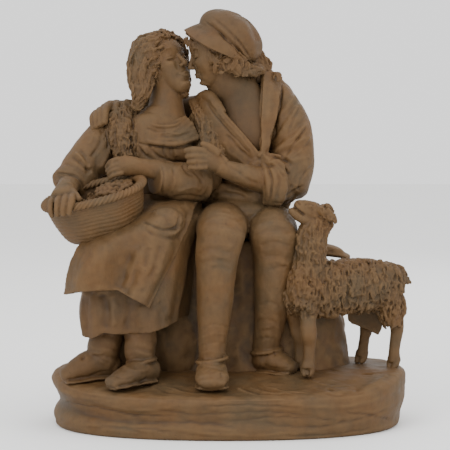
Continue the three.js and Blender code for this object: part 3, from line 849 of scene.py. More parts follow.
def skirtShape():
    # Rounded oblong rings from the waist down, whose folds are three sines round them, and whose last
    # rings slope to the hem's height over X.
    angle = np.linspace(0, tau, int(240 / coarse), endpoint=False)[None, :]
    levels = through(skirtLevels, np.linspace(0, 1, 60))[0][..., None]
    height, x, y, wide, deep, depth, slope = (levels[:, k] for k in range(7))
    fold = np.sin(5 * angle + 0.6) + 0.5 * np.sin(9 * angle) + 0.35 * np.sin(14 * angle + 1)
    out = skirt["foldDepth"] * depth * fold * 0.8
    power = 2 / skirt["squareness"]
    ringX = x + (wide + out) * signedPower(np.cos(angle), power)
    ringY = y + (deep + out) * signedPower(np.sin(angle), power)
    hem = np.array(hemLine, float)
    drop = (np.interp(ringX, hem[:, 0], hem[:, 1]) - 76) * ease(110 - height, 0, 34)
    ringZ = height + slope * (ringX - x) + drop
    return closed(np.stack([ringX, ringY, ringZ], -1), (-50, 18, 182), (-74, -24, 84))


shoes = {
    "soleRise": 0.8,
    "soleEdge": 0.4,
    "soleHalf": 1.9,
    "rim": 1.5,
}


def shoe(stations, ankle, wide):
    # An upper over a thin sole, with a rolled opening round the ankle. The sole's line lies lower than
    # the upper's by its half depth less a small rise, and its edge stands out to both sides.
    stations = np.array(stations, float)
    sole = stations.copy()
    sole[:, 2] -= stations[:, 4] - shoes["soleRise"]
    sole[:, 3] += shoes["soleEdge"]
    sole[:, 4] = shoes["soleHalf"]
    return [sweep(stations, upwards, 48, 40, 0.85), sweep(sole, upwards, 48, 40, 0.9),
            ringRound(ankle, (1, 0, 0.15), (0, 1, 0), wide, wide, shoes["rim"])]


def makeWomanLower():
    # the skirt, the apron with its filled pocket, the stockings and the shoes
    stocking = gathers(0.9, 5, 0.5, 0.6)
    shapes = [
        skirtShape(),
        cloth(apronNet, skirt["apronThickness"], 150, 130,
              relief=lambda u, v: 0.9 * v * np.sin(19 * u + 2 * v) + 0.5 * v * np.sin(37 * u + 4)),
        blob((-46.5, -51, 161), (12.5, 10, 9), (12, 8, 0)),
        blob((-55, -55, 157.5), (6, 6, 4)),
        blob((-47, -60.5, 156), (2.0, 2.4, 1.8)),
        sweep([(-66, -57, 159.5, 1.0), (-60, -60, 157, 1.4), (-54, -61.5, 154, 1.7),
               (-47, -61, 151.5, 2.0), (-41, -57.5, 151.5, 2.0), (-36.5, -52.5, 155, 1.8),
               (-34.5, -47, 161, 1.6), (-36, -42, 166, 1.2)], around=20, along=60),
        sweep([(-91, -32, 90, 12.5), (-92, -33, 74, 12), (-95, -34, 62, 12.5), (-95, -33, 50, 11)],
              around=60, along=70, relief=stocking),
        sweep([(-68, -42, 90, 12.5), (-67, -43, 72, 11.8), (-67, -44, 60, 11.5), (-66, -44, 48, 10.5)],
              around=60, along=70, relief=stocking),
    ]
    shapes += shoe([(-90, -32, 49, 10, 10), (-104, -36, 50, 10.5, 11), (-115, -40, 46.5, 10, 9),
                    (-123, -42, 43, 8.5, 6)], (-96, -34, 60), 11.5)
    shapes += shoe([(-60, -43, 47, 9, 9), (-70, -54, 46.5, 9.5, 8.5), (-80, -63, 43.5, 9.2, 6.5),
                    (-87, -69, 41, 7.2, 4.5)], (-66, -46, 54), 10.8)
    softer = scaled(skirtMarks, skirt["markWidth"], skirt["markHeight"])
    points, triangles = modelled(shapes, skirt["voxel"], marks=softer, seed=51)
    # the clay is darker from 108 mm down, fully below 98 mm: the lower skirt, the stockings and the shoes
    finished("womanLower", points, triangles, skirt["triangles"],
             lambda p: skirt["tone"] * ease(108 - p[:, 2], 0, 10))


# The woman's bodice, fleece waistcoat, sleeves and hands

bodice = {
    "locks": 260,
    "length": 6.5,
    "matting": (2.3, 1.1),
    "voxel": 0.6,
    "triangles": 125000,
}

bodiceMarks = between(-30, 10, [
    ([(-73, 219.5), (-62, 215), (-48, 213.5), (-35, 214.5), (-22, 219)], 0.8, -1.1),
    ([(-64, 229), (-55, 226), (-44, 225.5)], 0.9, -0.8),
    ([(-54, 223), (-42, 221), (-28, 226)], 1.0, -0.8),
    ([(-50, 226), (-38, 223.5), (-27, 229)], 1.3, 0.8),
    ([(-61, 216), (-58, 210), (-50, 205), (-36, 202)], 1.0, -1.4),
    ([(-50, 216), (-50, 210), (-48, 205)], 0.9, -1.0),
    ([(-70, 216), (-65, 209), (-58, 205)], 1.0, -1.2),
    ([(-66, 214), (-62, 208)], 1.3, 0.8),
    ([(-42, 215), (-40, 207)], 1.2, 0.8),
]) + between(-30, 12, [
    ([(-72, 243), (-74.5, 236), (-75, 222), (-75, 210)], 0.8, -1.8),
]) + between(-30, 14, [
    ([(-31, 250), (-24, 236), (-21.5, 224)], 0.8, -1.8),
]) + between(-40, 30, [
    ([(-115, 213), (-109, 204), (-108, 192)], 1.5, -1.5),
    ([(-121, 207), (-112, 201), (-105, 194)], 1.3, -1.3),
    ([(-118, 210), (-111, 204), (-106, 197)], 1.3, 1.2),
    ([(-126, 202), (-117, 199), (-108, 190)], 1.2, -1.2),
    ([(-97, 228), (-100, 216), (-107, 206)], 1.8, -1.2),
    ([(-90, 228), (-92, 212), (-100, 196)], 1.8, 1.1),
    ([(-86, 222), (-88, 210), (-94, 196)], 1.6, -1.2),
    ([(-104, 226), (-108, 216)], 1.6, 0.9),
]) + between(-45, 30, [
    ([(-132, 195), (-121, 194), (-113, 189), (-109, 178)], 0.9, -1.5),
    ([(-133, 190), (-123, 189), (-115, 183), (-112, 174)], 1.0, 0.8),
    ([(-134, 187), (-124, 185), (-117, 180), (-114, 172)], 0.8, -0.8),
]) + between(-60, -10, [
    ([(-36, 202), (-33, 196), (-27, 193)], 1.1, -1.2),
    ([(-44, 175), (-33, 178), (-20, 176), (-14, 185)], 1.3, -1.2),
    ([(-40, 181), (-30, 184), (-20, 183)], 1.6, 0.8),
    ([(-31, 200), (-24, 193), (-20, 186)], 1.2, -1.1),
    ([(-26, 202), (-19, 195), (-14, 188)], 1.4, 0.9),
    ([(-51, 202), (-49, 191), (-51, 178)], 0.9, -1.2),
    ([(-45, 200), (-42, 190), (-44, 180)], 1.3, 0.6),
])


# the same from behind: the seam, the waist and the folds that run into it
bodiceBack = between(10, 90, [
    ([(-54, 232), (-53, 205), (-52, 184)], 0.8, -1.0),
    ([(-30, 184), (-45, 181), (-62, 181), (-76, 184)], 1.2, -1.8),
    ([(-30, 180), (-45, 177), (-62, 177), (-76, 180)], 2.2, 1.0),
    ([(-36, 214), (-42, 198), (-45, 184)], 2.0, 1.1),
    ([(-40, 216), (-47, 200), (-49, 185)], 1.4, -1.0),
    ([(-72, 214), (-66, 198), (-62, 184)], 2.0, 1.1),
    ([(-67, 216), (-62, 200), (-58, 185)], 1.4, -1.0),
    ([(-38, 177), (-36, 164), (-30, 148)], 2.2, -1.4),
    ([(-48, 177), (-47, 162), (-45, 146)], 2.4, -1.5),
    ([(-58, 177), (-60, 162), (-62, 146)], 2.4, -1.5),
    ([(-68, 177), (-73, 162), (-78, 148)], 2.2, -1.4),
])


def wool(stations, facing, count, length, radius, seed, wave=0.5):
    # Locks of wool on a rounded form: from a random place on its surface, each hangs down along it, rises
    # out of it by a half sine, and sways by a sine across its way.
    chance = np.random.default_rng(seed)
    line, _, across, front = carried(stations, chance.random(count), facing)
    a = chance.uniform(0, tau, count)
    x, y = (np.cos(a) * line[:, 3])[:, None], (np.sin(a) * line[:, 4])[:, None]
    out = unit(np.cos(a)[:, None] * across / line[:, 3:4] + np.sin(a)[:, None] * front / line[:, 4:5])
    kept = out[:, 2] > -0.75
    root = (line[:, :3] + x * across + y * front)[kept]
    out, count = out[kept], int(kept.sum())
    down = np.array([0, 0, -1.0]) + chance.normal(0, 0.16, (count, 3))
    down = unit(down - (down * out).sum(1, keepdims=True) * out + 1e-3)
    s = np.linspace(0, 1, 9)[None, :, None]
    reach = length * chance.uniform(0.5, 1.4, (count, 1, 1))
    sink = -0.9 + 1.3 * np.sin(pi * s) - 0.06 * reach * s ** 2
    path = root[:, None] + down[:, None] * reach * s + out[:, None] * sink
    side = np.cross(down, out)[:, None]
    path = path + side * wave * np.sin(tau * 0.9 * s + chance.uniform(0, tau, (count, 1, 1)))
    sizes = radius * chance.uniform(0.7, 1.4, (count, 1)) * (1 - 0.5 * s[..., 0] ** 2)
    return strands(path, sizes)


def makeWomanUpper():
    # the body and bodice, the shift, the waistcoat with its fleece edges, the sleeves and the hands
    turned = (0.3, -1, 0)
    nearEdge = [(-84, 14, 244, 9, 5), (-84, 3, 234, 10, 6), (-81, -3, 222, 10, 6), (-80, -6, 208, 8, 6)]
    farEdge = [(-24, 8, 240, 8, 5), (-15, 0, 230, 10, 6), (-11, -4, 218, 10, 6), (-9, -7, 206, 8, 6)]
    shapes = [
        sweep([(-55, 38, 147, 35, 29), (-51, 26, 184, 24, 20), (-53, 14, 208, 28, 18),
               (-56, 17, 226, 31, 16), (-57, 20, 236, 24, 12)], turned, 120, 110,
              relief=gathers(1.0, 3.0, 0.6, 2.1, 1.5)),
        sweep([(-50, 6, 236, 20, 12), (-51, 4, 228, 25, 14), (-51, 3, 215, 26, 15), (-51, 4, 200, 23, 16),
               (-51, 8, 184, 20, 16)], turned, 90, 80),
        blob((-61, -2.5, 211), (12, 10, 10), (10, 0, 0)),
        blob((-39, -2.5, 211), (12, 10, 10), (10, 0, 0)),
        # the shift's edge, and the top of the bodice
        cloth([[(-67, 2, 240), (-62.5, -6, 233.5), (-52, -9.5, 230.5), (-41, -8.5, 231.5),
                (-34, -2, 238)],
               [(-71, -1, 233), (-62, -8.5, 226.5), (-50, -11.5, 224), (-38, -10.5, 226), (-28, -4, 232)],
               [(-73, -4, 224), (-62, -11, 219), (-48, -13, 217.5), (-35, -12, 219), (-24, -5, 223)]],
               2.4, 60, 90,
              relief=lambda u, v: 0.35 * np.sin(19 * u * v + 4 * v) + 0.25 * np.sin(31 * v + 9 * u)),
        sweep([(-67, 1, 242, 0.8, 1.1), (-65, -6, 236, 1, 1.3), (-61, -9.5, 232, 1.1, 1.4),
               (-51, -11.5, 230, 1.1, 1.4), (-41, -10.5, 231, 1.1, 1.4), (-36.5, -5.5, 234, 1, 1.3),
               (-34.5, -1, 237, 0.7, 0.9)],
               upwards, 24, 70),
        sweep([(-73.5, -5, 223, 1.1, 1.6), (-62, -12, 218.5, 1.4, 1.9), (-48, -14.5, 216.5, 1.5, 2.0),
               (-35, -13.5, 217.5, 1.4, 1.9), (-22, -5, 222, 1.1, 1.6)], upwards, 24, 60),
        sweep([(-76, 14, 248, 6, 2.6), (-76.5, 3, 239, 6.5, 2.6), (-77.5, -4, 228, 6, 2.8),
               (-77, -7, 212, 5, 2.8)], turned, 36, 60),
        sweep([(-27, 12, 250, 5, 2.6), (-22, 2, 240, 5.6, 2.6), (-17.5, -4, 228, 5.4, 2.8),
               (-16, -8, 212, 5, 2.8)], turned, 36, 60),
        sweep(nearEdge, around=44, along=60, relief=gathers(0.8, 7, 0.7)),
        sweep(farEdge, around=44, along=60, relief=gathers(0.8, 7, 0.7, 1)),
        sweep([(-88, 19, 229, 15, 14), (-102, 9, 213, 16.5, 16), (-113, -2, 198, 16, 15.5),
               (-120, -11, 188, 14.5, 14.5)], around=110, along=150, blunt=0.4,
               relief=gathers(2.1, 3.4, 0.8, 2.4)),
        sweep([(-115, -6, 193, 16, 16), (-123, -15, 184, 15, 14.5)], around=80, along=40, blunt=0.22,
              relief=gathers(0.6, 2, 0.3)),
        # the dress between the waist and the near sleeve
        sweep([(-76, 20, 187, 5, 9), (-92, 17, 187, 4.5, 8.5), (-108, 7, 185, 5, 8)], upwards, 60, 60),
        sweep([(-26, 22, 228, 13, 14), (-18, 6, 209, 13.5, 14), (-19, -8, 189, 13, 15)],
              around=80, along=90, relief=gathers(1.2, 2.5, 0.7, 0.3)),
        sweep([(-19, -9, 188, 13, 15), (-36, -18, 188, 15, 15), (-46, -22, 190, 14, 13.5)],
              upwards, 100, 110, blunt=0.3, relief=gathers(1.2, 2.2, 0.6, 1.5)),
        sweep([(-46, -21, 190, 14.5, 14), (-56, -26, 191, 13.6, 12.6)], upwards, 80, 40, blunt=0.2,
              relief=gathers(0.5, 1.5, 0.4)),
        # near hand, over the basket's rim
        *hand([(-121, -16, 187, 8.5, 7.5), (-122, -36, 184, 8.5, 7), (-124, -50, 179, 9.5, 5.5)],
              [(-116.5, -55, 179), (-116, -63.5, 177.5), (-117, -69, 172.5), (-118, -69.5, 167)],
              [(-131.5, -49, 176), (-132.5, -57, 174.5), (-132.5, -62, 169.5), (-131.5, -62.5, 164.5)],
              [(-119, -43, 182.5), (-115.5, -53, 180), (-111.5, -60, 176.5)], 2.6, (0, 0, 1)),
        # far hand, palm down, with the fingers bent over the rim
        *hand([(-52, -26, 196.5, 8, 7.5), (-66, -31, 199, 6.8, 6.2), (-76, -34, 200.5, 7.6, 5.4),
               (-82, -35.5, 200, 7.4, 4.6)],
              [(-83, -36, 205.3), (-89, -36.5, 203.3), (-92.5, -33.5, 199.5)],
              [(-81, -38.5, 195.3), (-86.5, -40, 193.8), (-90, -38, 191.3)],
              [(-72, -30, 204), (-79, -27, 205.5), (-85, -26, 204)], 2.25, towardsFront),
    ]
    locks = [wool(edge, towardsFront, int(bodice["locks"] / coarse), bodice["length"], 0.85, seed, 0.8)
             for edge, seed in ((nearEdge, 3), (farEdge, 4))]
    points, triangles = modelled(shapes, bodice["voxel"], 2, marks=bodiceMarks, behind=bodiceBack,
                                 seed=71, locks=locks, matting=bodice["matting"])
    finished("womanUpper", points, triangles, bodice["triangles"])


# Heads. A head is built in its own frame, in half heights: x to its right, y forward, z up,
# with the crown at 1 and the chin at -1. The face is a plain design of its own.

def headFrame(forward, up):
    # right, forward and up as rows: up is made square to forward, and right is their cross product
    forward = unit(forward)
    up = unit(np.asarray(up, float) - np.dot(up, forward) * forward)
    return np.stack([np.cross(forward, up), forward, up])


def placed(shapes, origin, axes, size):
    # shapes of the head's own frame, sized, turned by its axes and moved to its origin
    return [(points * size @ axes + np.asarray(origin, float), triangles) for points, triangles in shapes]


def mirrored(maker, *arguments):
    # the shape and its mirror image across the middle plane
    points, triangles = maker(*arguments)
    return [(points, triangles), (points * (-1, 1, 1), triangles[:, ::-1])]


def pressed(points, places):
    # Hollows and swellings: each moves points along y by depth * bell(distance / width).
    for centre, widths, depth in places:
        away = ((points - np.asarray(centre)) / np.asarray(widths)) ** 2
        points = points + np.array([0, 1, 0]) * (depth * np.exp(-away.sum(1)))[:, None]
    return points


def headForm(smile=0.0, jaw=1.0):
    # Skull, face mask, nose, mouth, closed eyes and ears. The smile lifts the corners of the mouth, and
    # jaw is how wide the lower face is.
    skull = blob((0, -0.12, 0.24), (0.70, 0.84, 0.76), around=90)
    mask = sweep([(0, 0.08, 0.76, 0.40, 0.38), (0, 0.16, 0.42, 0.56, 0.475), (0, 0.20, 0.06, 0.60, 0.48),
                  (0, 0.22, -0.28, 0.56 * jaw, 0.455), (0, 0.26, -0.58, 0.46 * jaw, 0.40),
                  (0, 0.34, -0.80, 0.32 * jaw, 0.29), (0, 0.39, -0.91, 0.20, 0.20)],
                 (0, 1, 0), 150, 150, 0.4, squareness=2.2)
    presses = [((0, 0.62, 0.12), (0.10, 0.35, 0.07), 0.03), ((0, 0.6, 0.50), (0.35, 0.40, 0.20), 0.03),
               ((0, 0.6, -0.60), (0.22, 0.35, 0.13), 0.035),
               ((0, 0.6, -0.765), (0.17, 0.35, 0.05), -0.05),
               ((0, 0.6, -0.88), (0.15, 0.35, 0.09), 0.06)]
    for side in (-1, 1):
        presses += [((side * 0.25, 0.60, -0.01), (0.17, 0.35, 0.13), -0.16),
                    ((side * 0.18, 0.60, -0.32), (0.07, 0.30, 0.14), -0.05),
                    ((side * 0.37, 0.55, -0.20), (0.16, 0.35, 0.14), 0.06),
                    ((side * 0.23, 0.60, 0.19), (0.20, 0.35, 0.055), 0.045),
                    ((side * 0.52, 0.40, 0.16), (0.10, 0.40, 0.22), -0.04),
                    ((side * 0.40, 0.50, -0.58), (0.14, 0.35, 0.15), -0.035),
                    ((side * 0.22, 0.60, -0.60), (0.045, 0.35, 0.06), -0.04)]
    corner = -0.60 + 0.04 * smile
    # skull and mask, then the nose and both lips
    shapes = [
        skull, (pressed(mask[0], presses), mask[1]),
        sweep([(0, 0.61, 0.14, 0.075, 0.06), (0, 0.68, -0.06, 0.06, 0.065), (0, 0.76, -0.23, 0.07, 0.075),
               (0, 0.80, -0.335, 0.088, 0.075)], (0, 1, 0), 40, 40, 0.8),
        sweep([(-0.20, 0.59, corner, 0.014), (-0.11, 0.65, -0.587, 0.025, 0.03),
               (-0.045, 0.675, -0.57, 0.034, 0.034), (0, 0.67, -0.577, 0.03, 0.034),
               (0.045, 0.675, -0.57, 0.034, 0.034), (0.11, 0.65, -0.587, 0.025, 0.03),
               (0.20, 0.59, corner, 0.014)], (0, 1, 0), 24, 70),
        sweep([(-0.18, 0.59, corner - 0.015, 0.014), (-0.10, 0.645, -0.65, 0.032, 0.034),
               (0, 0.658, -0.66, 0.042, 0.04), (0.10, 0.645, -0.65, 0.032, 0.034),
               (0.18, 0.59, corner - 0.015, 0.014)], (0, 1, 0), 24, 70),
    ]
    # on both sides: wings of the nose, eyes, the skin under them, brows, closed lids, ears
    paired = [
        (blob, (0.095, 0.715, -0.355), (0.055, 0.075, 0.052)),
        (blob, (0.25, 0.47, 0.045), (0.165, 0.175, 0.105)),
        (blob, (0.25, 0.45, -0.135), (0.14, 0.15, 0.065)),
        (sweep, [(0.09, 0.62, 0.17, 0.02), (0.17, 0.655, 0.215, 0.035), (0.28, 0.645, 0.245, 0.038),
                 (0.40, 0.58, 0.225, 0.03), (0.47, 0.50, 0.18, 0.015)], (0, 1, 0), 20, 50),
        (sweep, [(0.10, 0.57, -0.005, 0.016), (0.18, 0.618, -0.04, 0.024), (0.26, 0.622, -0.05, 0.026),
                 (0.34, 0.585, -0.04, 0.024), (0.42, 0.50, -0.005, 0.016)], (0, 1, 0), 20, 50),
        (sweep, [(0.12, 0.565, 0.06, 0.012), (0.20, 0.605, 0.12, 0.03, 0.022),
                 (0.30, 0.59, 0.13, 0.032, 0.022), (0.40, 0.50, 0.08, 0.014)], (0, 1, 0), 20, 50),
        (sweep, [(0.60, 0.06, -0.02, 0.035), (0.67, 0.0, 0.10, 0.04), (0.71, -0.13, 0.12, 0.042),
                 (0.71, -0.20, 0.02, 0.04), (0.67, -0.14, -0.14, 0.04), (0.63, -0.03, -0.24, 0.05)],
         (1, 0, 0), 20, 60),
        (blob, (0.62, -0.08, -0.03), (0.05, 0.11, 0.17)),
    ]
    for maker, *arguments in paired:
        shapes += mirrored(maker, *arguments)
    return shapes


def waved(path, sway, turns, phase, lift):
    # a strand that sways sideways: sway * sin(turns * length) across the path, and lift out from it
    s = np.linspace(0, 1, path.shape[1])[None, :]
    forward = unit(np.gradient(path, axis=1))
    sideways = unit(np.cross(forward, lift))
    wave = sway * np.sin(tau * turns * s + phase) * ease(s, 0, 0.15)
    outward = 0.5 * sway * np.cos(tau * turns * s + phase)
    return path + sideways * wave[..., None] + lift * outward[..., None]


def hairOver(centre, radii, axes, starts, ends, count, radius, sway, turns, seed, loose=0.12):
    # Strands over an egg: from a random place among starts to the matching one among ends, both directions
    # from its centre, by the shortest way round: (sin((1 - s) * angle) * first + sin(s * angle) * last)
    # / sin(angle). They are waved, and lie a little above or below one another.
    chance = np.random.default_rng(seed)
    pick = chance.random(count)
    first = unit(through(starts, pick)[0] + chance.normal(0, loose, (count, 3)))
    last = unit(through(ends, pick)[0] + chance.normal(0, loose, (count, 3)))
    angle = np.arccos(np.clip((first * last).sum(1), -0.98, 1))[:, None, None]
    s = np.linspace(0, 1, 26)[None, :, None]
    way = (np.sin((1 - s) * angle) * first[:, None] + np.sin(s * angle) * last[:, None]) / np.sin(angle)
    layer = 1 + chance.uniform(-0.045, 0.07, (count, 1, 1))
    path = way * layer * np.asarray(radii, float) @ axes + np.asarray(centre, float)
    lift = unit(way / np.asarray(radii, float)) @ axes
    path = waved(path, sway * chance.uniform(0.6, 1.3, (count, 1)),
                 turns * chance.uniform(0.8, 1.2, (count, 1)), chance.uniform(0, tau, (count, 1)), lift)
    sizes = radius * chance.uniform(0.7, 1.25, (count, 1)) * (1 - 0.5 * np.abs(2 * s[..., 0] - 1) ** 3)
    return strands(path, sizes)


def lockOf(stations, count, radius, sway, turns, seed, around=1.02):
    # Strands side by side round a lock of hair: each keeps its own place round the sweep's line,
    # width * cos(angle) * across and depth * sin(angle) * front, and winds round it a little.
    chance = np.random.default_rng(seed)
    s = np.linspace(0, 1, 30)
    line, _, across, front = carried(stations, s, towardsFront)
    angle = chance.uniform(0, tau, (count, 1)) + 0.9 * s[None, :] * chance.uniform(-1, 1, (count, 1))
    out = around * chance.uniform(0.88, 1.1, (count, 1))
    x, y = (np.cos(angle) * out * line[:, 3])[..., None], (-np.sin(angle) * out * line[:, 4])[..., None]
    lift = unit(x * across + y * -front)
    path = waved(line[None, :, :3] + x * across - y * front, sway, turns,
                 chance.uniform(0, tau, (count, 1)), lift)
    sizes = radius * chance.uniform(0.75, 1.25, (count, 1)) * (1 - 0.55 * ease(s, 0.6, 1.0))[None, :]
    return strands(path, sizes)


def ringlet(place, size, radius, turns, seed, facing=(-0.1, -1, 0.1)):
    # A curl that lies on the head: three strands side by side, each an arc of its own size round the same
    # place, place + out * (cos(angle) * across + sin(angle) * up), that run out into a short tail.
    chance = np.random.default_rng(seed)
    facing = unit(np.asarray(facing, float) + chance.normal(0, 0.25, 3))
    across = unit(np.cross(facing, upwards))
    up = np.cross(across, facing)
    t = np.linspace(0, 1, 24)[None, :]
    ring = np.array([1.0, 0.62, 0.25])[:, None]
    winding = tau * turns * chance.choice([-1, 1]) * t * (1.15 - 0.25 * ring)
    angle = winding + chance.uniform(0, tau) + 0.3 * ring
    out = size * chance.uniform(0.8, 1.25) * (ring + 0.55 * ease(t, 0.6, 1.0))
    flat, tall = chance.uniform(0.75, 1.1), chance.uniform(1.0, 1.4)
    turned = flat * np.cos(angle)[..., None] * across + tall * np.sin(angle)[..., None] * up
    path = np.asarray(place, float) + out[..., None] * turned
    path = path + facing * (0.9 * (1 - ring) + 0.5 * np.sin(pi * t) - 0.8 * t ** 3)[..., None]
    return strands(path, radius * (1 - 0.5 * t ** 3) * np.ones((3, 1)))


womanHead = {
    "origin": (-50.0, 13.5, 276.0),
    "forward": (0.60, -0.63, 0.50),
    "up": (-0.42, 0.33, 0.85),
    "size": 26.5,
    "strands": 150,
    "matting": (2.4, 0.8),
    "grain": 0.07,
    "voxel": 0.5,
    "triangles": 125000,
}


def makeWomanHead():
    # the head, the neck and the hair: strands over an egg from the hairline to the nape, and hanging locks
    axes = headFrame(womanHead["forward"], womanHead["up"])
    centre, size = womanHead["origin"], womanHead["size"]
    shapes = placed(headForm(smile=0.8, jaw=0.90), centre, axes, size)
    middle = np.asarray(centre) + size * (np.array([0, -0.14, 0.27]) @ axes)
    radii = size * np.array([0.79, 0.92, 0.83])
    lock = [(-65, 4, 289, 6, 4), (-68, 0, 277, 8, 5), (-67.5, -3, 265, 8, 5), (-67.5, -5, 256, 6, 4.5),
            (-70, -5, 248, 4, 3.4), (-71.5, -5, 243, 2.4, 2.2)]
    fall = [(-60, 24, 296, 14, 10), (-57, 32, 276, 17, 11), (-56, 36, 252, 16, 9), (-56, 38, 226, 9, 6)]
    far = [(-38, 14, 282, 5, 5), (-36, 12, 266, 5.5, 5), (-35, 10, 254, 4, 4)]
    hairline = [(-0.72, 0.5, -0.25), (-0.62, 0.66, 0.28), (-0.35, 0.74, 0.6), (0, 0.76, 0.66),
                (0.35, 0.74, 0.6), (0.62, 0.66, 0.28), (0.74, 0.45, -0.25)]
    nape = [(-0.7, -0.45, -0.7), (-0.75, -0.65, -0.35), (-0.4, -0.9, -0.3), (0, -1, -0.25),
            (0.4, -0.9, -0.3), (0.75, -0.65, -0.35), (0.7, -0.45, -0.7)]
    bare = blob((0, -0.17, 0.27), (0.74, 0.78, 0.77), around=90)
    tight = [(-61, 2, 277), (-60, 0, 272), (-62, -2, 268), (-60, 1, 283), (-64, -1, 280), (-66, -3, 273),
             (-71, -1, 279)]
    shapes += placed([bare], centre, axes, size)
    shapes += [
        sweep([(-51, 7, 210, 25, 13.5), (-50, 5, 226, 25, 14), (-50, 7, 236, 20, 13.5),
               (-49, 9, 244, 14.5, 13), (-48.5, 10, 254, 12.4, 12.4), (-48, 10, 263, 12, 12),
               (-49, 10, 272, 12.5, 13.5)],
               (0.3, -1, 0), 90, 100),
        sweep(lock, around=40, along=60), sweep(fall, around=50, along=60),
        sweep(far, around=30, along=40),
        blob((-60, -0.5, 278.5), (4, 4.5, 5)),
    ]
    locks = [
        hairOver(middle, radii, axes, hairline, nape, int(womanHead["strands"] / coarse),
                 1.5, 2.0, 2.4, 8),
        hairOver(middle, radii * 0.99, axes, [(0.1, 0.75, 0.68), (0.5, 0.6, 0.62)],
                 [(0.8, 0.2, 0.5), (0.9, -0.2, 0.2)], 26, 1.4, 1.8, 2.0, 18),
        lockOf(lock, 30, 1.3, 1.3, 2.2, 9, 1.1), lockOf(fall, 60, 1.6, 1.6, 2.4, 10),
        lockOf(far, 18, 1.2, 1.0, 2.0, 11),
        *[ringlet(place, 2.5, 0.85, 0.7, 300 + k) for k, place in enumerate(tight)],
    ]
    points, triangles = modelled(shapes, womanHead["voxel"], 2, womanHead["grain"], seed=81, locks=locks,
                                 matting=womanHead["matting"])
    finished("womanHead", points, triangles, womanHead["triangles"])


# The man's shirt, shawl collar, sleeves and hands

shirt = {
    "frontThickness": 3.2,
    "shawlThickness": 4.6,
    "sleeveFolds": 2.2,
    "voxel": 0.65,
    "triangles": 110000,
}

shirtMarks = between(-50, 20, [
    ([(62, 239), (52, 229), (38, 218), (29, 209)], 2.2, -1.6),
    ([(62, 234), (50, 223), (38, 213), (30, 207)], 2.2, 1.2),
    ([(58, 252), (49, 244), (40, 232), (32, 218)], 2.0, -1.4),
    ([(54, 255), (45, 246), (37, 234)], 2.2, 1.0),
    ([(64, 217), (52, 213), (39, 210), (29, 207)], 1.7, -1.5),
    ([(63, 223), (50, 217), (36, 211)], 1.8, 1.2),
    ([(30, 206), (40, 206), (49, 200)], 1.5, -1.5),
    ([(29, 203), (38, 203), (46, 196)], 1.6, 1.2),
    ([(28, 201), (36, 199), (43, 191)], 1.3, -1.3),
    ([(62, 207), (54, 205), (46, 203)], 2.0, 0.9),
    ([(60, 198), (52, 192), (48, 182)], 2.0, -1.0),
    ([(56, 246), (50, 236), (45, 224)], 1.1, -1.1),
    ([(60, 230), (50, 217), (42, 207)], 1.0, -1.3),
    ([(64, 226), (56, 214), (48, 206)], 1.2, 0.8),
    ([(64, 200), (57, 193), (53, 180)], 1.1, -1.1),
    ([(58, 186), (50, 180), (42, 178)], 1.0, -1.1),
    ([(50, 176), (42, 172), (34, 171)], 0.9, -1.0),
]) + between(-60, 0, [
    ([(27, 204), (31, 196), (32.5, 186), (31, 174)], 1.0, -1.3),
    ([(28, 203), (36, 196), (38, 186), (36, 173)], 1.3, -1.1),
    ([(27, 209), (36, 208), (45, 202)], 1.1, -1.2),
    ([(29, 205), (38, 201), (46, 193)], 1.2, -1.1),
    ([(42, 198), (44, 186), (41, 173)], 1.8, 0.8),
    ([(-25, 205), (-24, 199)], 0.8, -0.5),
]) + between(-60, 10, [
    ([(26, 170), (35, 167), (46, 170), (53, 180)], 1.4, -1.2),
]) + between(-40, 10, [
    ([(-2, 225), (8, 212), (20, 203)], 1.5, -1.2),
    ([(-6, 220), (4, 207), (17, 199)], 1.7, 1.0),
    ([(-9, 214), (-1, 202), (10, 194)], 1.5, -1.0),
    ([(14, 203), (22, 205), (27, 209)], 1.0, -1.0),
]) + between(-50, 10, [
    ([(-7, 189), (4, 186), (20, 180)], 1.6, -1.4),
    ([(-9, 184), (4, 181), (18, 175)], 1.8, 1.1),
    ([(-13, 176), (-2, 179), (14, 176)], 1.5, -1.2),
    ([(8, 196), (14, 190), (22, 187)], 1.4, -1.0),
]) + between(-40, 15, [
    ([(33, 264), (31, 250), (29, 232)], 2.4, 0.7),
    ([(24, 266), (24.5, 250), (23.5, 232), (24, 212)], 0.7, -1.4),
    ([(41, 262), (39.5, 248), (36.5, 234), (31.5, 214)], 0.8, -1.8),
]) + between(-40, 12, [
    ([(-18, 249), (-8, 235), (5, 221), (18, 206)], 0.7, -0.9),
    ([(-15, 251), (-5, 237), (8, 223), (20, 208)], 0.9, 0.7),
])

# the same from behind: the waist and the folds over and under it
shirtBack = between(10, 90, [
    ([(-18, 181), (0, 177), (20, 177), (42, 181)], 1.3, -2.0),
    ([(-18, 176), (0, 172), (20, 172), (42, 176)], 2.4, 1.2),
    ([(-8, 236), (-7, 210), (-3, 182)], 2.2, -1.6),
    ([(-13, 228), (-11, 205), (-8, 184)], 2.4, 1.2),
    ([(6, 222), (7, 200), (8, 181)], 1.8, -1.2),
    ([(18, 226), (17, 204), (15, 181)], 2.2, 1.3),
    ([(32, 232), (28, 206), (23, 181)], 2.0, -1.6),
    ([(38, 222), (34, 202), (30, 183)], 2.2, 1.2),
    ([(-8, 171), (-10, 160), (-14, 146)], 2.4, -1.5),
    ([(6, 171), (6, 158), (5, 144)], 2.4, -1.6),
    ([(20, 171), (22, 158), (25, 144)], 2.4, -1.6),
    ([(33, 172), (37, 160), (42, 147)], 2.2, -1.4),
    ([(-14, 251), (5, 255), (24, 256)], 1.6, -1.2),
])

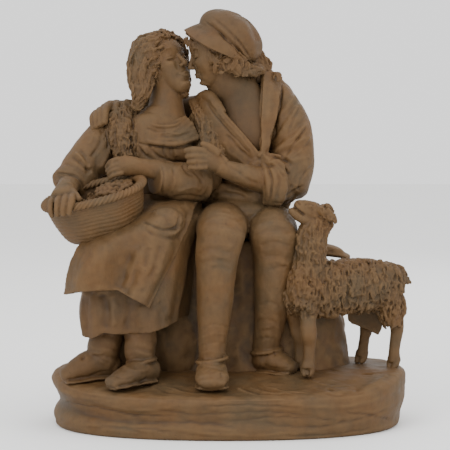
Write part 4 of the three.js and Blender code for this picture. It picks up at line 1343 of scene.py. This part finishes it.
# the shirt's left front from the open edge outwards, and the shawl collar, both from the neck down
shirtFront = [
    [(-13, 0, 255), (-21, 6, 250), (-27, 16, 242)],
    [(-3, -9, 240), (-13, -5, 232), (-21, 4, 224)],
    [(10, -13, 226), (-1, -11, 217), (-12, -5, 209)],
    [(22, -15, 211), (13, -14, 204), (0, -9, 198)],
    [(25, -15, 206), (20, -14, 201), (10, -10, 194)],
]
shawl = [
    [(26, 8, 272), (34, 12, 272), (41, 17, 267)],
    [(25, -3, 256), (32, -2, 255), (39, 2, 252)],
    [(24, -10, 240), (30, -10, 238), (36, -6, 236)],
    [(24, -14, 222), (28, -15, 221), (32, -12, 220)],
    [(24, -16, 208), (27, -17, 207), (29, -14, 207)],
]


def makeManUpper():
    # the body, the open shirt with its collar, the sleeves, one turned back, the arms and the hands
    turned = (-0.2, -1, 0)
    shapes = [
        sweep([(14, 42, 149, 37, 27), (11, 30, 186, 31, 23), (14, 22, 220, 32, 21), (16, 24, 243, 32, 16),
               (14, 24, 256, 20, 13)], turned, 140, 130, relief=gathers(1.6, 3.4, 0.8, 1.3, 1.6)),
        cloth(shirtFront, shirt["frontThickness"], 60, 110,
              relief=lambda u, v: 0.8 * u * np.sin(13 * v + 3 * u)),
        cloth(shawl, shirt["shawlThickness"], 50, 130,
              relief=lambda u, v: 1.6 * np.sin(pi * u) + 0.25 * np.sin(21 * v)),
        sweep([(-24, 14, 250, 4, 4), (-17, 4, 254, 4.4, 4), (-11, -2, 249, 4, 3.4),
               (-5, -7, 241, 3, 2.6)], around=30),
        blob((25, -15, 208), (4, 3.4, 3.6)),
        sweep([(24, 24, 268, 9, 9), (34, 22, 258, 12, 12), (40, 19, 248, 15, 15), (47, 12, 228, 18, 19),
               (48, 4, 205, 18.5, 19), (44, -3, 184, 17, 17)], around=130, along=170,
              relief=gathers(shirt["sleeveFolds"], 4.0, 0.9, 0.4)),
        sweep([(46, -2, 186, 14, 16), (36, -9, 186, 14.5, 15), (29, -14, 188, 13.6, 14)],
              upwards, 100, 60, 0.2, relief=gathers(1.8, 3.4, 0.5, 0.3)),
        # the turned back sleeve: folds that run down and round from a knot
        sweep([(27, -15, 206, 5, 3.4), (33, -20, 199, 8.5, 5), (35, -22.5, 189, 10, 5.6),
               (34.5, -21, 179, 9.6, 5.4), (32, -15, 171, 7.5, 4)], towardsFront, 70, 80,
              relief=gathers(0.9, 1.6, 1.6, 2.2, 1.3)),
        sweep([(27, -15, 207, 3, 2.6), (36, -16, 204, 5, 3), (46, -12, 197, 4, 2.4)],
              towardsFront, 40, 60),
        blob((25, -15, 207.5), (4.4, 3.4, 3.6)), blob((20.5, -14, 202), (6, 4.5, 5)),
        # far arm, round the woman's back to the near shoulder
        sweep([(-12, 34, 242, 15, 15), (-32, 42, 240, 13.5, 13), (-52, 42, 239, 12, 12),
               (-72, 34, 241, 10.5, 10.5)], upwards, 80, 90, relief=gathers(1.1, 4, 0.5)),
        *hand([(-66, 37, 241, 9, 8), (-82, 28, 243, 8, 7), (-92, 17, 244, 9.5, 6)],
              [(-93, 10, 246), (-95, 1, 242), (-96, -3, 233)],
              [(-104, 15, 240), (-106, 7, 236), (-105, 3, 228)],
              [(-88, 20, 246.5), (-87, 12, 245.5), (-88, 5, 242)], 3.0, upwards),
        sweep([(36, -10, 186, 10, 10), (26, -15, 189, 10.2, 9.8), (8, -23, 194, 9, 8.4),
               (-8, -29.5, 200, 7.2, 6.2)], upwards, 60, 70),
        *hand([(-6, -29, 201, 7.2, 6), (-12, -32, 204, 7.8, 5.6), (-18.5, -34.5, 206, 8.2, 4.6)],
              [(-19, -36.5, 211.8), (-26.5, -39.5, 213), (-32.5, -37, 212)],
              [(-18, -37.5, 200), (-24.5, -40, 199.5), (-29.5, -38, 199.3)],
              [(-9, -34, 210), (-14, -35, 214.5), (-20, -34.5, 217)], 2.4, towardsFront),
        # shirt tails over the lap
        sweep([(-22, 20, 172, 9, 9), (-4, 4, 178, 12, 10), (18, -2, 176, 13, 11), (40, 12, 172, 12, 10)],
              upwards, 60, 80,
              relief=gathers(1.2, 5, 0.6)),
    ]
    points, triangles = modelled(shapes, shirt["voxel"], 2, marks=shirtMarks, seed=91, behind=shirtBack)
    finished("manUpper", points, triangles, shirt["triangles"])


# The man's breeches, stockings and shoes

breeches = {
    "kneeFolds": 0.5,
    "stockingFolds": 0.4,
    "markWidth": 1.35,
    "markHeight": 0.62,
    "voxel": 0.75,
    "triangles": 75000,
}

legMarks = between(-90, -30, [
    ([(-24, 136), (-13, 139), (3, 136)], 1.1, -1.0),
    ([(-22, 132), (-10, 135), (3, 131)], 1.3, 0.9),
    ([(-23, 129), (-8, 131), (2, 127)], 1.1, -0.9),
    ([(-24, 142), (-8, 143), (5, 141)], 1.5, 0.7),
    ([(-14, 125), (-5, 126), (2, 123)], 1.1, -0.8),
    ([(-20, 147), (-12, 150), (-2, 148)], 1.5, -0.5),
    ([(-25, 50), (-16, 52), (-1, 50)], 0.9, -1.1),
    ([(-25, 44), (-18, 47), (-8, 47), (0, 46)], 0.9, 0.9),
    ([(-25, 41), (-20, 37), (-11, 35), (-1, 37)], 0.8, -1.0),
    ([(-7, 48), (-6, 45)], 0.9, -2.0),
]) + between(-90, -5, [
    ([(22, 140), (34, 143), (48, 140)], 1.1, -0.9),
    ([(22, 135), (36, 138), (49, 134)], 1.3, 0.9),
    ([(23, 130), (37, 133), (48, 129)], 1.1, -1.0),
    ([(24, 126), (38, 129), (47, 125)], 1.2, 0.8),
    ([(29, 122), (42, 125), (46, 121)], 1.0, -0.9),
    ([(24, 146), (36, 149), (48, 146)], 1.6, 0.6),
]) + between(-90, -20, [
    ([(-21, 79), (-10, 83), (0, 80)], 0.8, -0.6),
    ([(-21, 72), (-10, 76), (0, 73)], 0.9, 0.6),
    ([(-22, 66), (-11, 69), (0, 66)], 0.8, -0.6),
    ([(-22, 60), (-12, 62), (-1, 59)], 0.9, 0.7),
    ([(-22, 56), (-12, 54), (-1, 53)], 0.9, -1.0),
]) + between(-60, 5, [
    ([(21, 93), (31, 97), (40, 93)], 0.9, -0.6),
    ([(24, 86), (33, 89), (41, 84)], 0.9, -0.5),
    ([(20, 81), (27, 84), (38, 80)], 0.9, -0.7),
    ([(25, 76), (33, 78), (39, 75)], 1.0, 0.5),
    ([(21, 72), (28, 75), (36, 72)], 0.9, -0.6),
    ([(20, 66), (30, 69), (38, 65)], 0.9, -0.7),
    ([(26, 48), (36, 45), (48, 47)], 0.8, -0.8),
    ([(34, 57), (36, 54)], 0.8, -1.6),
]) + between(-70, 10, [
    ([(-6, 168), (8, 165.5), (26, 167)], 1.2, -1.0),
    ([(-2, 163), (10, 161), (24, 163)], 1.3, -0.8),
])


def makeManLower():
    # the lap, the thighs and knees, the stockings and the shoes
    knee = gathers(breeches["kneeFolds"], 3, 0.3, 0.5)
    stocking = gathers(breeches["stockingFolds"], 5, 1.4, 0.6, 1.1)
    shapes = [
        blob((10, 6, 163), (32, 26, 15)),
        sweep([(15, 8, 158, 9, 8), (14.5, -8, 153, 6, 6)], upwards),
        sweep([(0, 30, 152, 22, 19), (-4, -2, 154, 21, 18.5), (-6, -30, 153, 19.5, 18),
               (-6.5, -42, 149, 18, 16)], upwards, 110, 110, relief=knee),
        sweep([(26, 32, 152, 22, 19), (30, 6, 153, 21, 18.5), (33, -14, 151, 19.5, 17.5),
               (34, -26, 146, 18, 16)], upwards, 110, 110, relief=knee),
        sweep([(-6, -42, 150, 18.5, 15.5), (-9, -44, 134, 16.5, 15), (-10, -44, 116, 14.6, 14.4),
               (-11, -43, 98, 13.4, 13.8), (-12, -43, 78, 11.6, 12), (-13, -44, 58, 10.2, 10.8),
               (-13, -46, 47, 10.4, 11.5)], around=110, along=170, relief=stocking),
        sweep([(34, -25, 147, 18.5, 15), (34.5, -23, 132, 16.4, 14.6), (34, -21, 116, 15, 14.6),
               (33, -18, 98, 13.8, 14), (31, -15, 76, 11.8, 12.4), (28, -12, 58, 10.8, 11.4),
               (28, -12, 49, 11, 12)], around=110, along=170, relief=stocking),
    ]
    shapes += shoe([(-13, -46, 48, 11, 10), (-13, -56, 46.5, 12, 9), (-13, -65, 43, 12.6, 7),
                    (-13, -71, 40.5, 10.5, 4.5)], (-13, -48, 55), 11.4)
    shapes += shoe([(26, -10, 50, 11, 10), (34, -15, 50, 11.5, 9.5), (42, -20, 47.5, 10.5, 7.5),
                    (48, -23, 45.5, 8, 5)], (29, -13, 57), 11.6)
    softer = scaled(legMarks, breeches["markWidth"], breeches["markHeight"])
    points, triangles = modelled(shapes, breeches["voxel"], 2, marks=softer, seed=101)
    finished("manLower", points, triangles, breeches["triangles"])


manHead = {
    "origin": (-12.0, 1.5, 287.0),
    "forward": (-0.97, -0.12, -0.2),
    "up": (-0.2, 0.0, 0.98),
    "size": 25.0,
    "strands": 70,
    "matting": (2.4, 0.6),
    "grain": 0.07,
    "chestShadeUnderChin": 0.46,
    "capTone": 0.2,
    "voxel": 0.5,
    "triangles": 105000,
}

capMarks = between(-40, 6, [
    ([(-19, 310.5), (-5.5, 300), (4.5, 289.5), (13, 280)], 0.8, -1.5),
    ([(-16, 312), (-2.5, 301.5), (7.5, 290.5), (15, 281)], 1.1, 0.9),
    ([(-13.5, 313.5), (0, 303), (10, 291.5), (17, 281)], 0.8, -1.0),
    ([(-2, 315), (8, 305), (16, 293), (20, 283)], 3.0, 0.7),
    ([(0, 310), (10, 300), (16, 289)], 2.0, -0.6),
    ([(10, 315), (18, 304), (23, 293)], 3.0, -0.7),
])


def makeManHead():
    # the head, the neck and chest, the cap with its band and peak, the curls and the lock at the neck
    axes = headFrame(manHead["forward"], manHead["up"])
    centre, size = manHead["origin"], manHead["size"]
    shapes = placed(headForm(smile=0.3, jaw=1.06), centre, axes, size)
    # the peak from the seam to its edge, each row from the near ear round the front to the far side
    brim = [
        [(14, -10, 281), (9.5, -14, 284.5), (4.5, -16.5, 289.5), (-1, -17, 295), (-6, -14.5, 300),
         (-12.5, -7, 305.5), (-18.5, 4, 309.5), (-14, 17, 306), (-6, 24, 300)],
        [(13, -10.5, 280.3), (8, -15, 282.5), (2.5, -18.5, 286), (-4, -20.5, 290), (-12, -19.5, 295),
         (-21, -12, 301), (-27, 1, 306.5), (-22, 15, 304), (-13, 24, 298)],
        [(12, -10.5, 279.8), (6.5, -14.5, 281), (0, -18.5, 283.2), (-6.5, -21, 285.5),
         (-17.5, -21.5, 290.5), (-28.5, -15, 297), (-34.5, -1, 302.8), (-30, 14, 301), (-19, 24, 296)],
    ]
    mass = [(-11, -11, 284, 4.5, 2.6), (-6, -12.5, 279, 6, 3.2), (3, -12, 276.5, 6, 3.6),
            (11, -8.5, 276, 5.5, 3.6)]
    lock = [(6, -9.5, 273.5, 3.4, 3), (12, -6.5, 273.5, 3.8, 3.6), (18, -1, 273.5, 4, 4),
            (25, 5, 273.5, 3, 3.4)]
    back = [(14, 16, 282, 10, 10), (21, 16, 274, 11, 9), (25, 15, 266, 8, 6)]
    curls = [(-14, -14, 286), (-12.5, -14, 280.5), (-9.5, -14.5, 275), (-8.5, -15.5, 282),
             (-5, -15.5, 277.5), (-6, -14.5, 271.5), (-2, -16, 281.5), (0, -15.5, 274),
             (2.5, -15.5, 278.5), (6, -13.5, 273.5), (8, -13, 278.5), (12, -10.5, 276.5),
             (11, -10.5, 271.5), (16, -5.5, 273), (-28, -8, 293.5), (-25, -9, 292), (37, 6, 268),
             (-30, -5, 296)]
    napeStarts = [(-0.85, 0.1, 0.1), (-0.6, -0.75, 0.15), (0, -1, 0.2), (0.6, -0.75, 0.15),
                  (0.85, 0.0, 0.1)]
    napeEnds = [(-0.75, -0.3, -0.5), (-0.5, -0.75, -0.6), (0, -0.9, -0.65), (0.5, -0.75, -0.6),
                (0.75, -0.3, -0.5)]
    shapes += [
        sweep([(20, 6, 204, 12, 11), (15, 2, 222, 20, 15), (12, 7, 240, 20, 15), (7, 10, 254, 18, 15),
               (-3, 8, 265, 15, 14.5), (-9, 6, 276, 14.5, 15)], (-0.25, -1, 0), 90, 100),
        blob((1, 5, 299), (27, 22.5, 18), axes=turning((0, 33, 0)).T, around=110,
             relief=lambda p: 0.5 * np.sin(6 * np.arctan2(p[:, 1], p[:, 0]) + 4 * p[:, 2])),
        ringRound((-4, 5, 293), (0.906, 0, -0.42), (0, -1, 0), 22, 18.5, 2.2, tall=6),
        cloth(brim, 2.6, 90, 90),
        sweep(mass, around=40, along=60), sweep(lock, around=30, along=40),
        sweep(back, around=40, along=60),
    ]
    locks = [
        lockOf(back, 30, 1.3, 1.2, 2.2, 13), lockOf(lock, 16, 1.1, 0.9, 1.6, 12, 1.1),
        hairOver((-6, 3, 290), size * np.array([0.72, 0.93, 0.78]), axes, napeStarts, napeEnds,
                 int(manHead["strands"] / coarse), 1.4, 1.4, 1.6, 14),
        *[ringlet(place, 2.7, 0.9, 0.72, 200 + k) for k, place in enumerate(curls)],
    ]
    points, triangles = modelled(shapes, manHead["voxel"], 2, manHead["grain"], marks=capMarks, seed=111,
                                 locks=locks, matting=manHead["matting"])
    # painted shade on the neck and chest below the chin; the cap is darker above 283 mm, which also lays
    # painted shade on the brow under its peak
    finished("manHead", points, triangles, manHead["triangles"],
             lambda p: (manHead["chestShadeUnderChin"] * ease(268 - p[:, 2], 0, 16)
                        + manHead["capTone"] * ease(p[:, 2], 283, 292)))


# The lamb

lamb = {
    "matting": (2.5, 1.2),
    "matStretch": (1, 1, 0.4),
    "haunchThickness": 6,
    "voxel": 0.6,
    "triangles": 130000,
}

# the locks of wool on each part: how many, their length and radius, and the seed of their places
lambLocks = {
    "trunk": (600, 7.5, 1.2, 31),
    "neck": (340, 6.5, 1.0, 32),
    "rump": (150, 7.0, 1.1, 33),
    "poll": (60, 3.0, 1.0, 34),
}

lambMarks = between(-60, -20, [
    ([(47.5, 170.5), (52, 167), (57, 162.5)], 0.8, -2.2),
    ([(51, 173), (54, 171)], 0.6, -1.0),
    ([(57, 171), (61, 171.5), (65, 170)], 0.7, -0.8),
    ([(57, 173), (61, 174), (65, 172.5)], 0.9, 0.6),
    ([(55, 88), (60, 87), (67, 88)], 0.9, -1.2),
    ([(60, 46), (60, 41)], 0.7, -1.6),
])


def lambLeg(stations, toe):
    # a leg with a cloven hoof
    foot = np.array(stations[-1][:3], float)
    forward = unit(toe)
    side = np.cross(forward, upwards)
    shapes = [sweep(stations, around=48, along=60, blunt=0.3, squareness=2.5)]
    for way in (-1, 1):
        hoof = [foot + side * 2.1 * way + (0, 0, 2), foot + side * 2.3 * way + forward * 2 + (0, 0, -2.5),
                foot + side * 2.1 * way + forward * 4.5 + (0, 0, -5)]
        shapes.append(sweep(np.c_[hoof, [3.4, 3.1, 2.0]], upwards, 28, 24, 0.8))
    return shapes


def makeLamb():
    # the trunk, neck, head and legs, with locks of wool on all but the face and the legs
    trunk = [(54, -26, 105, 15, 20), (64, -22, 105, 16, 21), (80, -17, 106, 16, 21),
             (104, -8, 107, 16.5, 20.5), (122, -1, 105, 15, 19), (127, 1, 103, 12, 16)]
    neck = [(57, -26, 98, 17, 14.5), (58, -27, 110, 15, 14), (61, -26, 128, 11.8, 12.5),
            (63, -25, 146, 12, 12), (68, -24, 157, 10.5, 10.5)]
    head = [(70, -24, 159, 8.5, 8.8), (64, -25, 164, 8, 8), (58, -27, 167.5, 6.6, 6.8),
            (53, -28.5, 169.5, 5, 5.2)]
    jaw = [(66, -26, 157, 6, 6), (58, -28, 160, 5.2, 5), (51, -29, 163.5, 4, 3.8),
           (47.5, -29.5, 166, 3, 3)]
    rump = [(120, -4, 104, 13, 15), (124, -6, 92, 11, 11), (127, -5, 80, 7.2, 8)]
    poll = [(76, -23, 156, 5, 7), (72, -24, 161, 6, 8), (67, -24, 166, 6, 7)]
    haunch = [[(92, 3, 95), (104, 2, 95), (119, 1, 95)],
              [(92.5, 6.5, 86), (105, 5.5, 85), (120, 3.5, 84)],
              [(93.5, 8, 79), (106, 7.5, 76), (119.5, 5, 73)],
              [(96, 8, 76), (107, 7.5, 71.5), (117, 5.5, 67)]]
    shapes = [
        sweep(trunk, upwards, 90, 100), sweep(neck, around=80, along=80),
        sweep(head, upwards, 60, 60, 0.8, squareness=2.3),
        sweep(jaw, upwards, 50, 50, 0.8), sweep(rump, around=50, along=50),
        cloth(haunch, lamb["haunchThickness"], 40, 50),
        # tail and ears
        sweep([(124, 2, 116, 6, 6), (131, 4, 117, 5, 5), (135, 5, 113, 4, 4), (137, 6, 107, 2.6, 2.6)],
              around=30),
        sweep([(68, -32, 167, 2.6, 1.6), (73, -35, 165, 4, 1.8), (78, -36, 161, 3, 1.6),
               (80, -36, 158, 1.8, 1.4)], around=30),
        sweep([(69, -16, 168, 2.6, 1.6), (75, -13, 167, 3.6, 1.8), (79, -11, 163, 2.4, 1.4)], around=30),
        # the eye and the low belly
        blob((61, -32.6, 170), (1.8, 1.4, 1.5)),
        blob((77, -20, 86.5), (8, 8, 4)),
        # the near foreleg, the far one, the near hind leg and the far one
        *lambLeg([(60.5, -30, 96, 8.5, 9), (60, -32, 84, 6.2, 6.6), (60.5, -34, 73, 6.2, 6.6),
                  (61, -33.5, 64, 4.9, 5.2), (60.5, -34, 54, 4.6, 4.8), (60, -35, 47, 5.5, 5.7)],
                 (-0.25, -1, 0)),
        *lambLeg([(49, -17, 94, 8, 9), (51, -15, 80, 5.8, 6), (53.5, -14, 70, 5.6, 5.8),
                  (54.5, -13, 61, 4.2, 4.5), (55, -12, 49, 4.8, 5)], (-0.3, -1, 0)),
        *lambLeg([(127, -6, 88, 8, 8), (130.5, -3, 74, 5.4, 6.2), (129.5, -3, 64, 4.4, 5),
                  (128.5, -4, 55, 4.3, 4.8), (128.5, -4, 48, 5.2, 5.4)], (-0.6, -0.8, 0)),
        *lambLeg([(108, 14, 86, 6, 6), (108, 13.5, 72, 5.2, 5.6), (106.5, 14, 62, 3.9, 4.4),
                  (105, 15, 50, 4.6, 5)], (-0.6, -0.8, 0)),
    ]
    for part, stations, facing in (("trunk", trunk, upwards), ("neck", neck, towardsFront),
                                   ("rump", rump, towardsFront), ("poll", poll, upwards)):
        count, length, radius, seed = lambLocks[part]
        shapes.append(wool(stations, facing, int(count / coarse), length, radius, seed))
    points, triangles = skin(shapes, lamb["voxel"], 3, 0.5)
    normals = normalsOf(points, triangles)
    # The wool is matted deeply on the body and neck, and faintly on the face; the legs are plain.
    face = ease(66 - points[:, 0], -2, 6) * ease(points[:, 2], 150, 158)
    woolly = ease(points[:, 2], 82, 88) * (1 - 0.85 * face)
    plain = 0.25 * (1 - woolly) * layered(points, 6, 47) + 0.8 * woolly * noise(points, 9, 45)
    points = strokes(points + normals * plain[:, None], normals, lambMarks)
    points = matted(points, normals, woolly, *lamb["matting"], 41, lamb["matStretch"])
    finished("lamb", points, triangles, lamb["triangles"])


# The basket: woven rows round an oval bowl, tipped towards the viewer, with a twisted rim and fruit

basket = {
    "centre": (-101.5, -42.0, 179.0),
    "halfLength": 37.0,
    "halfDepth": 25.0,
    "height": 33.0,
    "roll": -14.0,
    "pitch": 15.0,
    "rows": 17,
    "stakes": 44,
    "reeds": 62,
    "relief": 0.6,
    "rimHalfWidth": 3.8,
    "rimHalfHeight": 2.6,
    "voxel": 0.42,
    "triangles": 60000,
}

# the outside from the bottom up and the inside from the rim down: share of the half length, and height
basketOutside = [
    (0.34, -basket["height"] - 0.5), (0.62, -basket["height"]), (0.79, -0.84 * basket["height"]),
    (0.92, -0.5 * basket["height"]), (0.99, -0.2 * basket["height"]), (1.02, 0),
]
basketInside = [(0.93, 0.5), (0.88, -4), (0.84, -9)]

# fruit and straw, in the basket's own upright frame
fruit = {
    "middle": (16.0, 2.0, -7.0),
    "radii": (20.0, 16.0, 10.0),
    "spread": (15.0, 12.5),
    "berries": 48,
    "berryRadii": (1.8, 2.6),
    "turnOfEach": 2.4,
    "stems": 140,
    "stemLength": 6.5,
    "stemRadius": 0.9,
    "tone": 0.12,
    "voxel": 0.6,
    "triangles": 25000,
}


def basketPlace(x, y, z):
    # a point of the upright basket, tipped about X and then about Y
    matrix = turning((0, basket["roll"], 0)) @ turning((basket["pitch"], 0, 0))
    return np.stack(np.broadcast_arrays(x, y, z), -1) @ matrix.T + np.array(basket["centre"])


def makeFilling():
    # Berries on a mound, each further out by the square root of its number and a fixed turn from the last
    # one, and stems that stick out from it in a bow.
    chance = np.random.default_rng(5)
    count, stalks, (midX, midY, midZ) = fruit["berries"], fruit["stems"], fruit["middle"]
    k = np.arange(count)
    turned = fruit["turnOfEach"] * k
    spots = np.sqrt((k + 0.5) / count) * np.stack([np.cos(turned), np.sin(turned)])
    spots = spots + chance.normal(0, 0.05, (2, count))
    x, y = midX + fruit["spread"][0] * spots[0], midY + fruit["spread"][1] * spots[1]
    (halfX, halfY, halfZ) = fruit["radii"]
    dome = 1 - ((x - midX) / halfX) ** 2 - ((y - midY) / halfY) ** 2
    z = halfZ * np.sqrt(np.maximum(dome, 0.05)) + (midZ + 1)
    berries = [blob(place, chance.uniform(*fruit["berryRadii"], 3), chance.uniform(0, 90, 3), around=20)
               for place in basketPlace(x, y, z)]
    straw = chance.uniform(-1, 1, (stalks, 2))
    root = basketPlace(-6 + 20 * straw[:, 0], 11 * straw[:, 1], -7 + 3 * chance.random(stalks))
    way = unit(chance.normal(0, 1, (stalks, 3)) * (1, 1, 0.5) + (0, 0, 0.25))
    s = np.linspace(0, 1, 8)[None, :, None]
    bow = np.cross(way, upwards)[:, None] * np.sin(pi * s) * chance.uniform(-2, 2, (stalks, 1, 1))
    stems = strands(root[:, None] + way[:, None] * s * fruit["stemLength"] + bow,
                    np.full((stalks, 8), fruit["stemRadius"]))
    mound = blob(basketPlace(*fruit["middle"]), fruit["radii"], (basket["pitch"], basket["roll"], 0))
    points, triangles = skin([mound, stems, *berries], fruit["voxel"], 2, 0.5)
    finished("basketFilling", points, triangles, fruit["triangles"],
             lambda p: np.full(len(p), fruit["tone"]))


def makeBasket():
    # Oval rings up the outside and down the inside. The weave is |sin| over the rows, a little higher where
    # a reed passes over a stake, and the rim is a rope: a ring whose thickness is |sin| of a slanting line.
    angle = np.linspace(0, tau, int(720 / coarse), endpoint=False)[None, :]
    t = np.linspace(0, 1, int(200 / coarse))
    wall = through(basketOutside, t)[0][..., None]
    row = t[:, None] * basket["rows"]
    over = np.cos(basket["stakes"] * angle + pi * np.floor(row))
    weave = basket["relief"] * (np.abs(np.sin(pi * row)) ** 0.6 * (1 + 0.08 * over) - 0.7)
    wander = 0.5 * np.sin(3 * angle + 1) + 0.3 * np.sin(7 * angle)
    x = (basket["halfLength"] * wall[:, 0] + weave) * np.cos(angle)
    y = (basket["halfDepth"] * wall[:, 0] + weave) * np.sin(angle)
    z = wall[:, 1] + wander * ease(wall[:, 0], 0.5, 0.9)
    well = through(basketInside, np.linspace(0, 1, 30))[0][..., None]
    innerX = basket["halfLength"] * well[:, 0] * np.cos(angle)
    innerY = basket["halfDepth"] * well[:, 0] * np.sin(angle)
    innerZ = well[:, 1] + 0 * angle
    rings = basketPlace(*[np.concatenate(pair) for pair in ((x, innerX), (y, innerY), (z, innerZ))])
    bowl = closed(rings, basketPlace(0, 0, basketOutside[0][1]), basketPlace(0, 0, basketInside[-1][1]))
    a = np.linspace(0, tau * 1.01, 60)
    rope = basketPlace(basket["halfLength"] * np.cos(a), basket["halfDepth"] * np.sin(a),
                       1.2 + 0.4 * np.sin(3 * a))
    sizes = np.full((60, 2), (basket["rimHalfWidth"], basket["rimHalfHeight"]))
    rim = sweep(np.c_[rope, sizes], basketPlace(0, 0, 1) - basketPlace(0, 0, 0),
                44, int(1300 / coarse), 0.3,
                relief=lambda t, s: np.abs(np.sin(2.0 * s - basket["reeds"] * pi * t)) - 0.5)
    points, triangles = skin([bowl, rim], basket["voxel"], 1, 0.5)
    finished("basket", points, triangles, basket["triangles"])


for make in (makeBase, makeRock, makeWomanLower, makeWomanUpper, makeWomanHead, makeManLower,
             makeManUpper, makeManHead, makeLamb, makeFilling, makeBasket):
    make()
print("pieces made")


# Floor, light and camera

studio = {
    "floor": (0.90, 0.90, 0.89, 1),
    "floorRoughness": 0.9,
    "floorReach": 4.0,
    "sky": 1.45,
    "aim": (0, 0, 0.15),
}

# power, size and place of each light
lights = {
    "key": (12.0, 0.9, (-0.75, -1.15, 1.05)),
    "fill": (6.0, 1.1, (1.15, -0.9, 0.7)),
    "top": (4.5, 0.8, (0.1, -0.2, 1.35)),
    "rim": (3.0, 0.7, (0.5, 1.1, 0.8)),
}

# the lens in mm, the place in metres and the angle in degrees
camera = {
    "lens": 144.7,
    "sensor": 36,
    "place": (-0.0017, -1.4, 0.25),
    "downwards": 3.947,
}


def floorPlane():
    # one level square, pale and dull
    mesh = bpy.data.meshes.new("floor")
    corners = [(x * studio["floorReach"], y * studio["floorReach"], 0)
               for x, y in ((-1, -1), (1, -1), (1, 1), (-1, 1))]
    mesh.from_pydata(corners, [], [(0, 1, 2, 3)])
    material = bpy.data.materials.new("floor")
    material.use_nodes = True
    surface = material.node_tree.nodes["Principled BSDF"]
    surface.inputs["Base Color"].default_value = studio["floor"]
    surface.inputs["Roughness"].default_value = studio["floorRoughness"]
    mesh.materials.append(material)
    floor = bpy.data.objects.new("floor", mesh)
    bpy.context.scene.collection.objects.link(floor)


def areaLight(name, power, size, place):
    # a square lamp of that size, turned towards the middle of the group
    light = bpy.data.lights.new(name, "AREA")
    light.energy = power
    light.size = size
    lamp = bpy.data.objects.new(name, light)
    lamp.location = place
    lamp.rotation_euler = (Vector(studio["aim"]) - Vector(place)).to_track_quat("-Z", "Y").to_euler()
    bpy.context.scene.collection.objects.link(lamp)


def sky():
    # even white light from all round
    world = bpy.data.worlds.new("studio")
    world.use_nodes = True
    background = world.node_tree.nodes["Background"]
    background.inputs["Color"].default_value = (1, 1, 1, 1)
    background.inputs["Strength"].default_value = studio["sky"]
    bpy.context.scene.world = world


floorPlane()
sky()
for name, (power, size, place) in lights.items():
    areaLight(name, power, size, place)

lens = bpy.data.cameras.new("camera")
lens.lens = camera["lens"]
lens.sensor_width = camera["sensor"]
lens.clip_start = 0.01
viewer = bpy.data.objects.new("camera", lens)
viewer.location = camera["place"]
viewer.rotation_euler = (radians(90 - camera["downwards"]), 0, 0)
bpy.context.scene.collection.objects.link(viewer)
bpy.context.scene.camera = viewer

print("scene made")
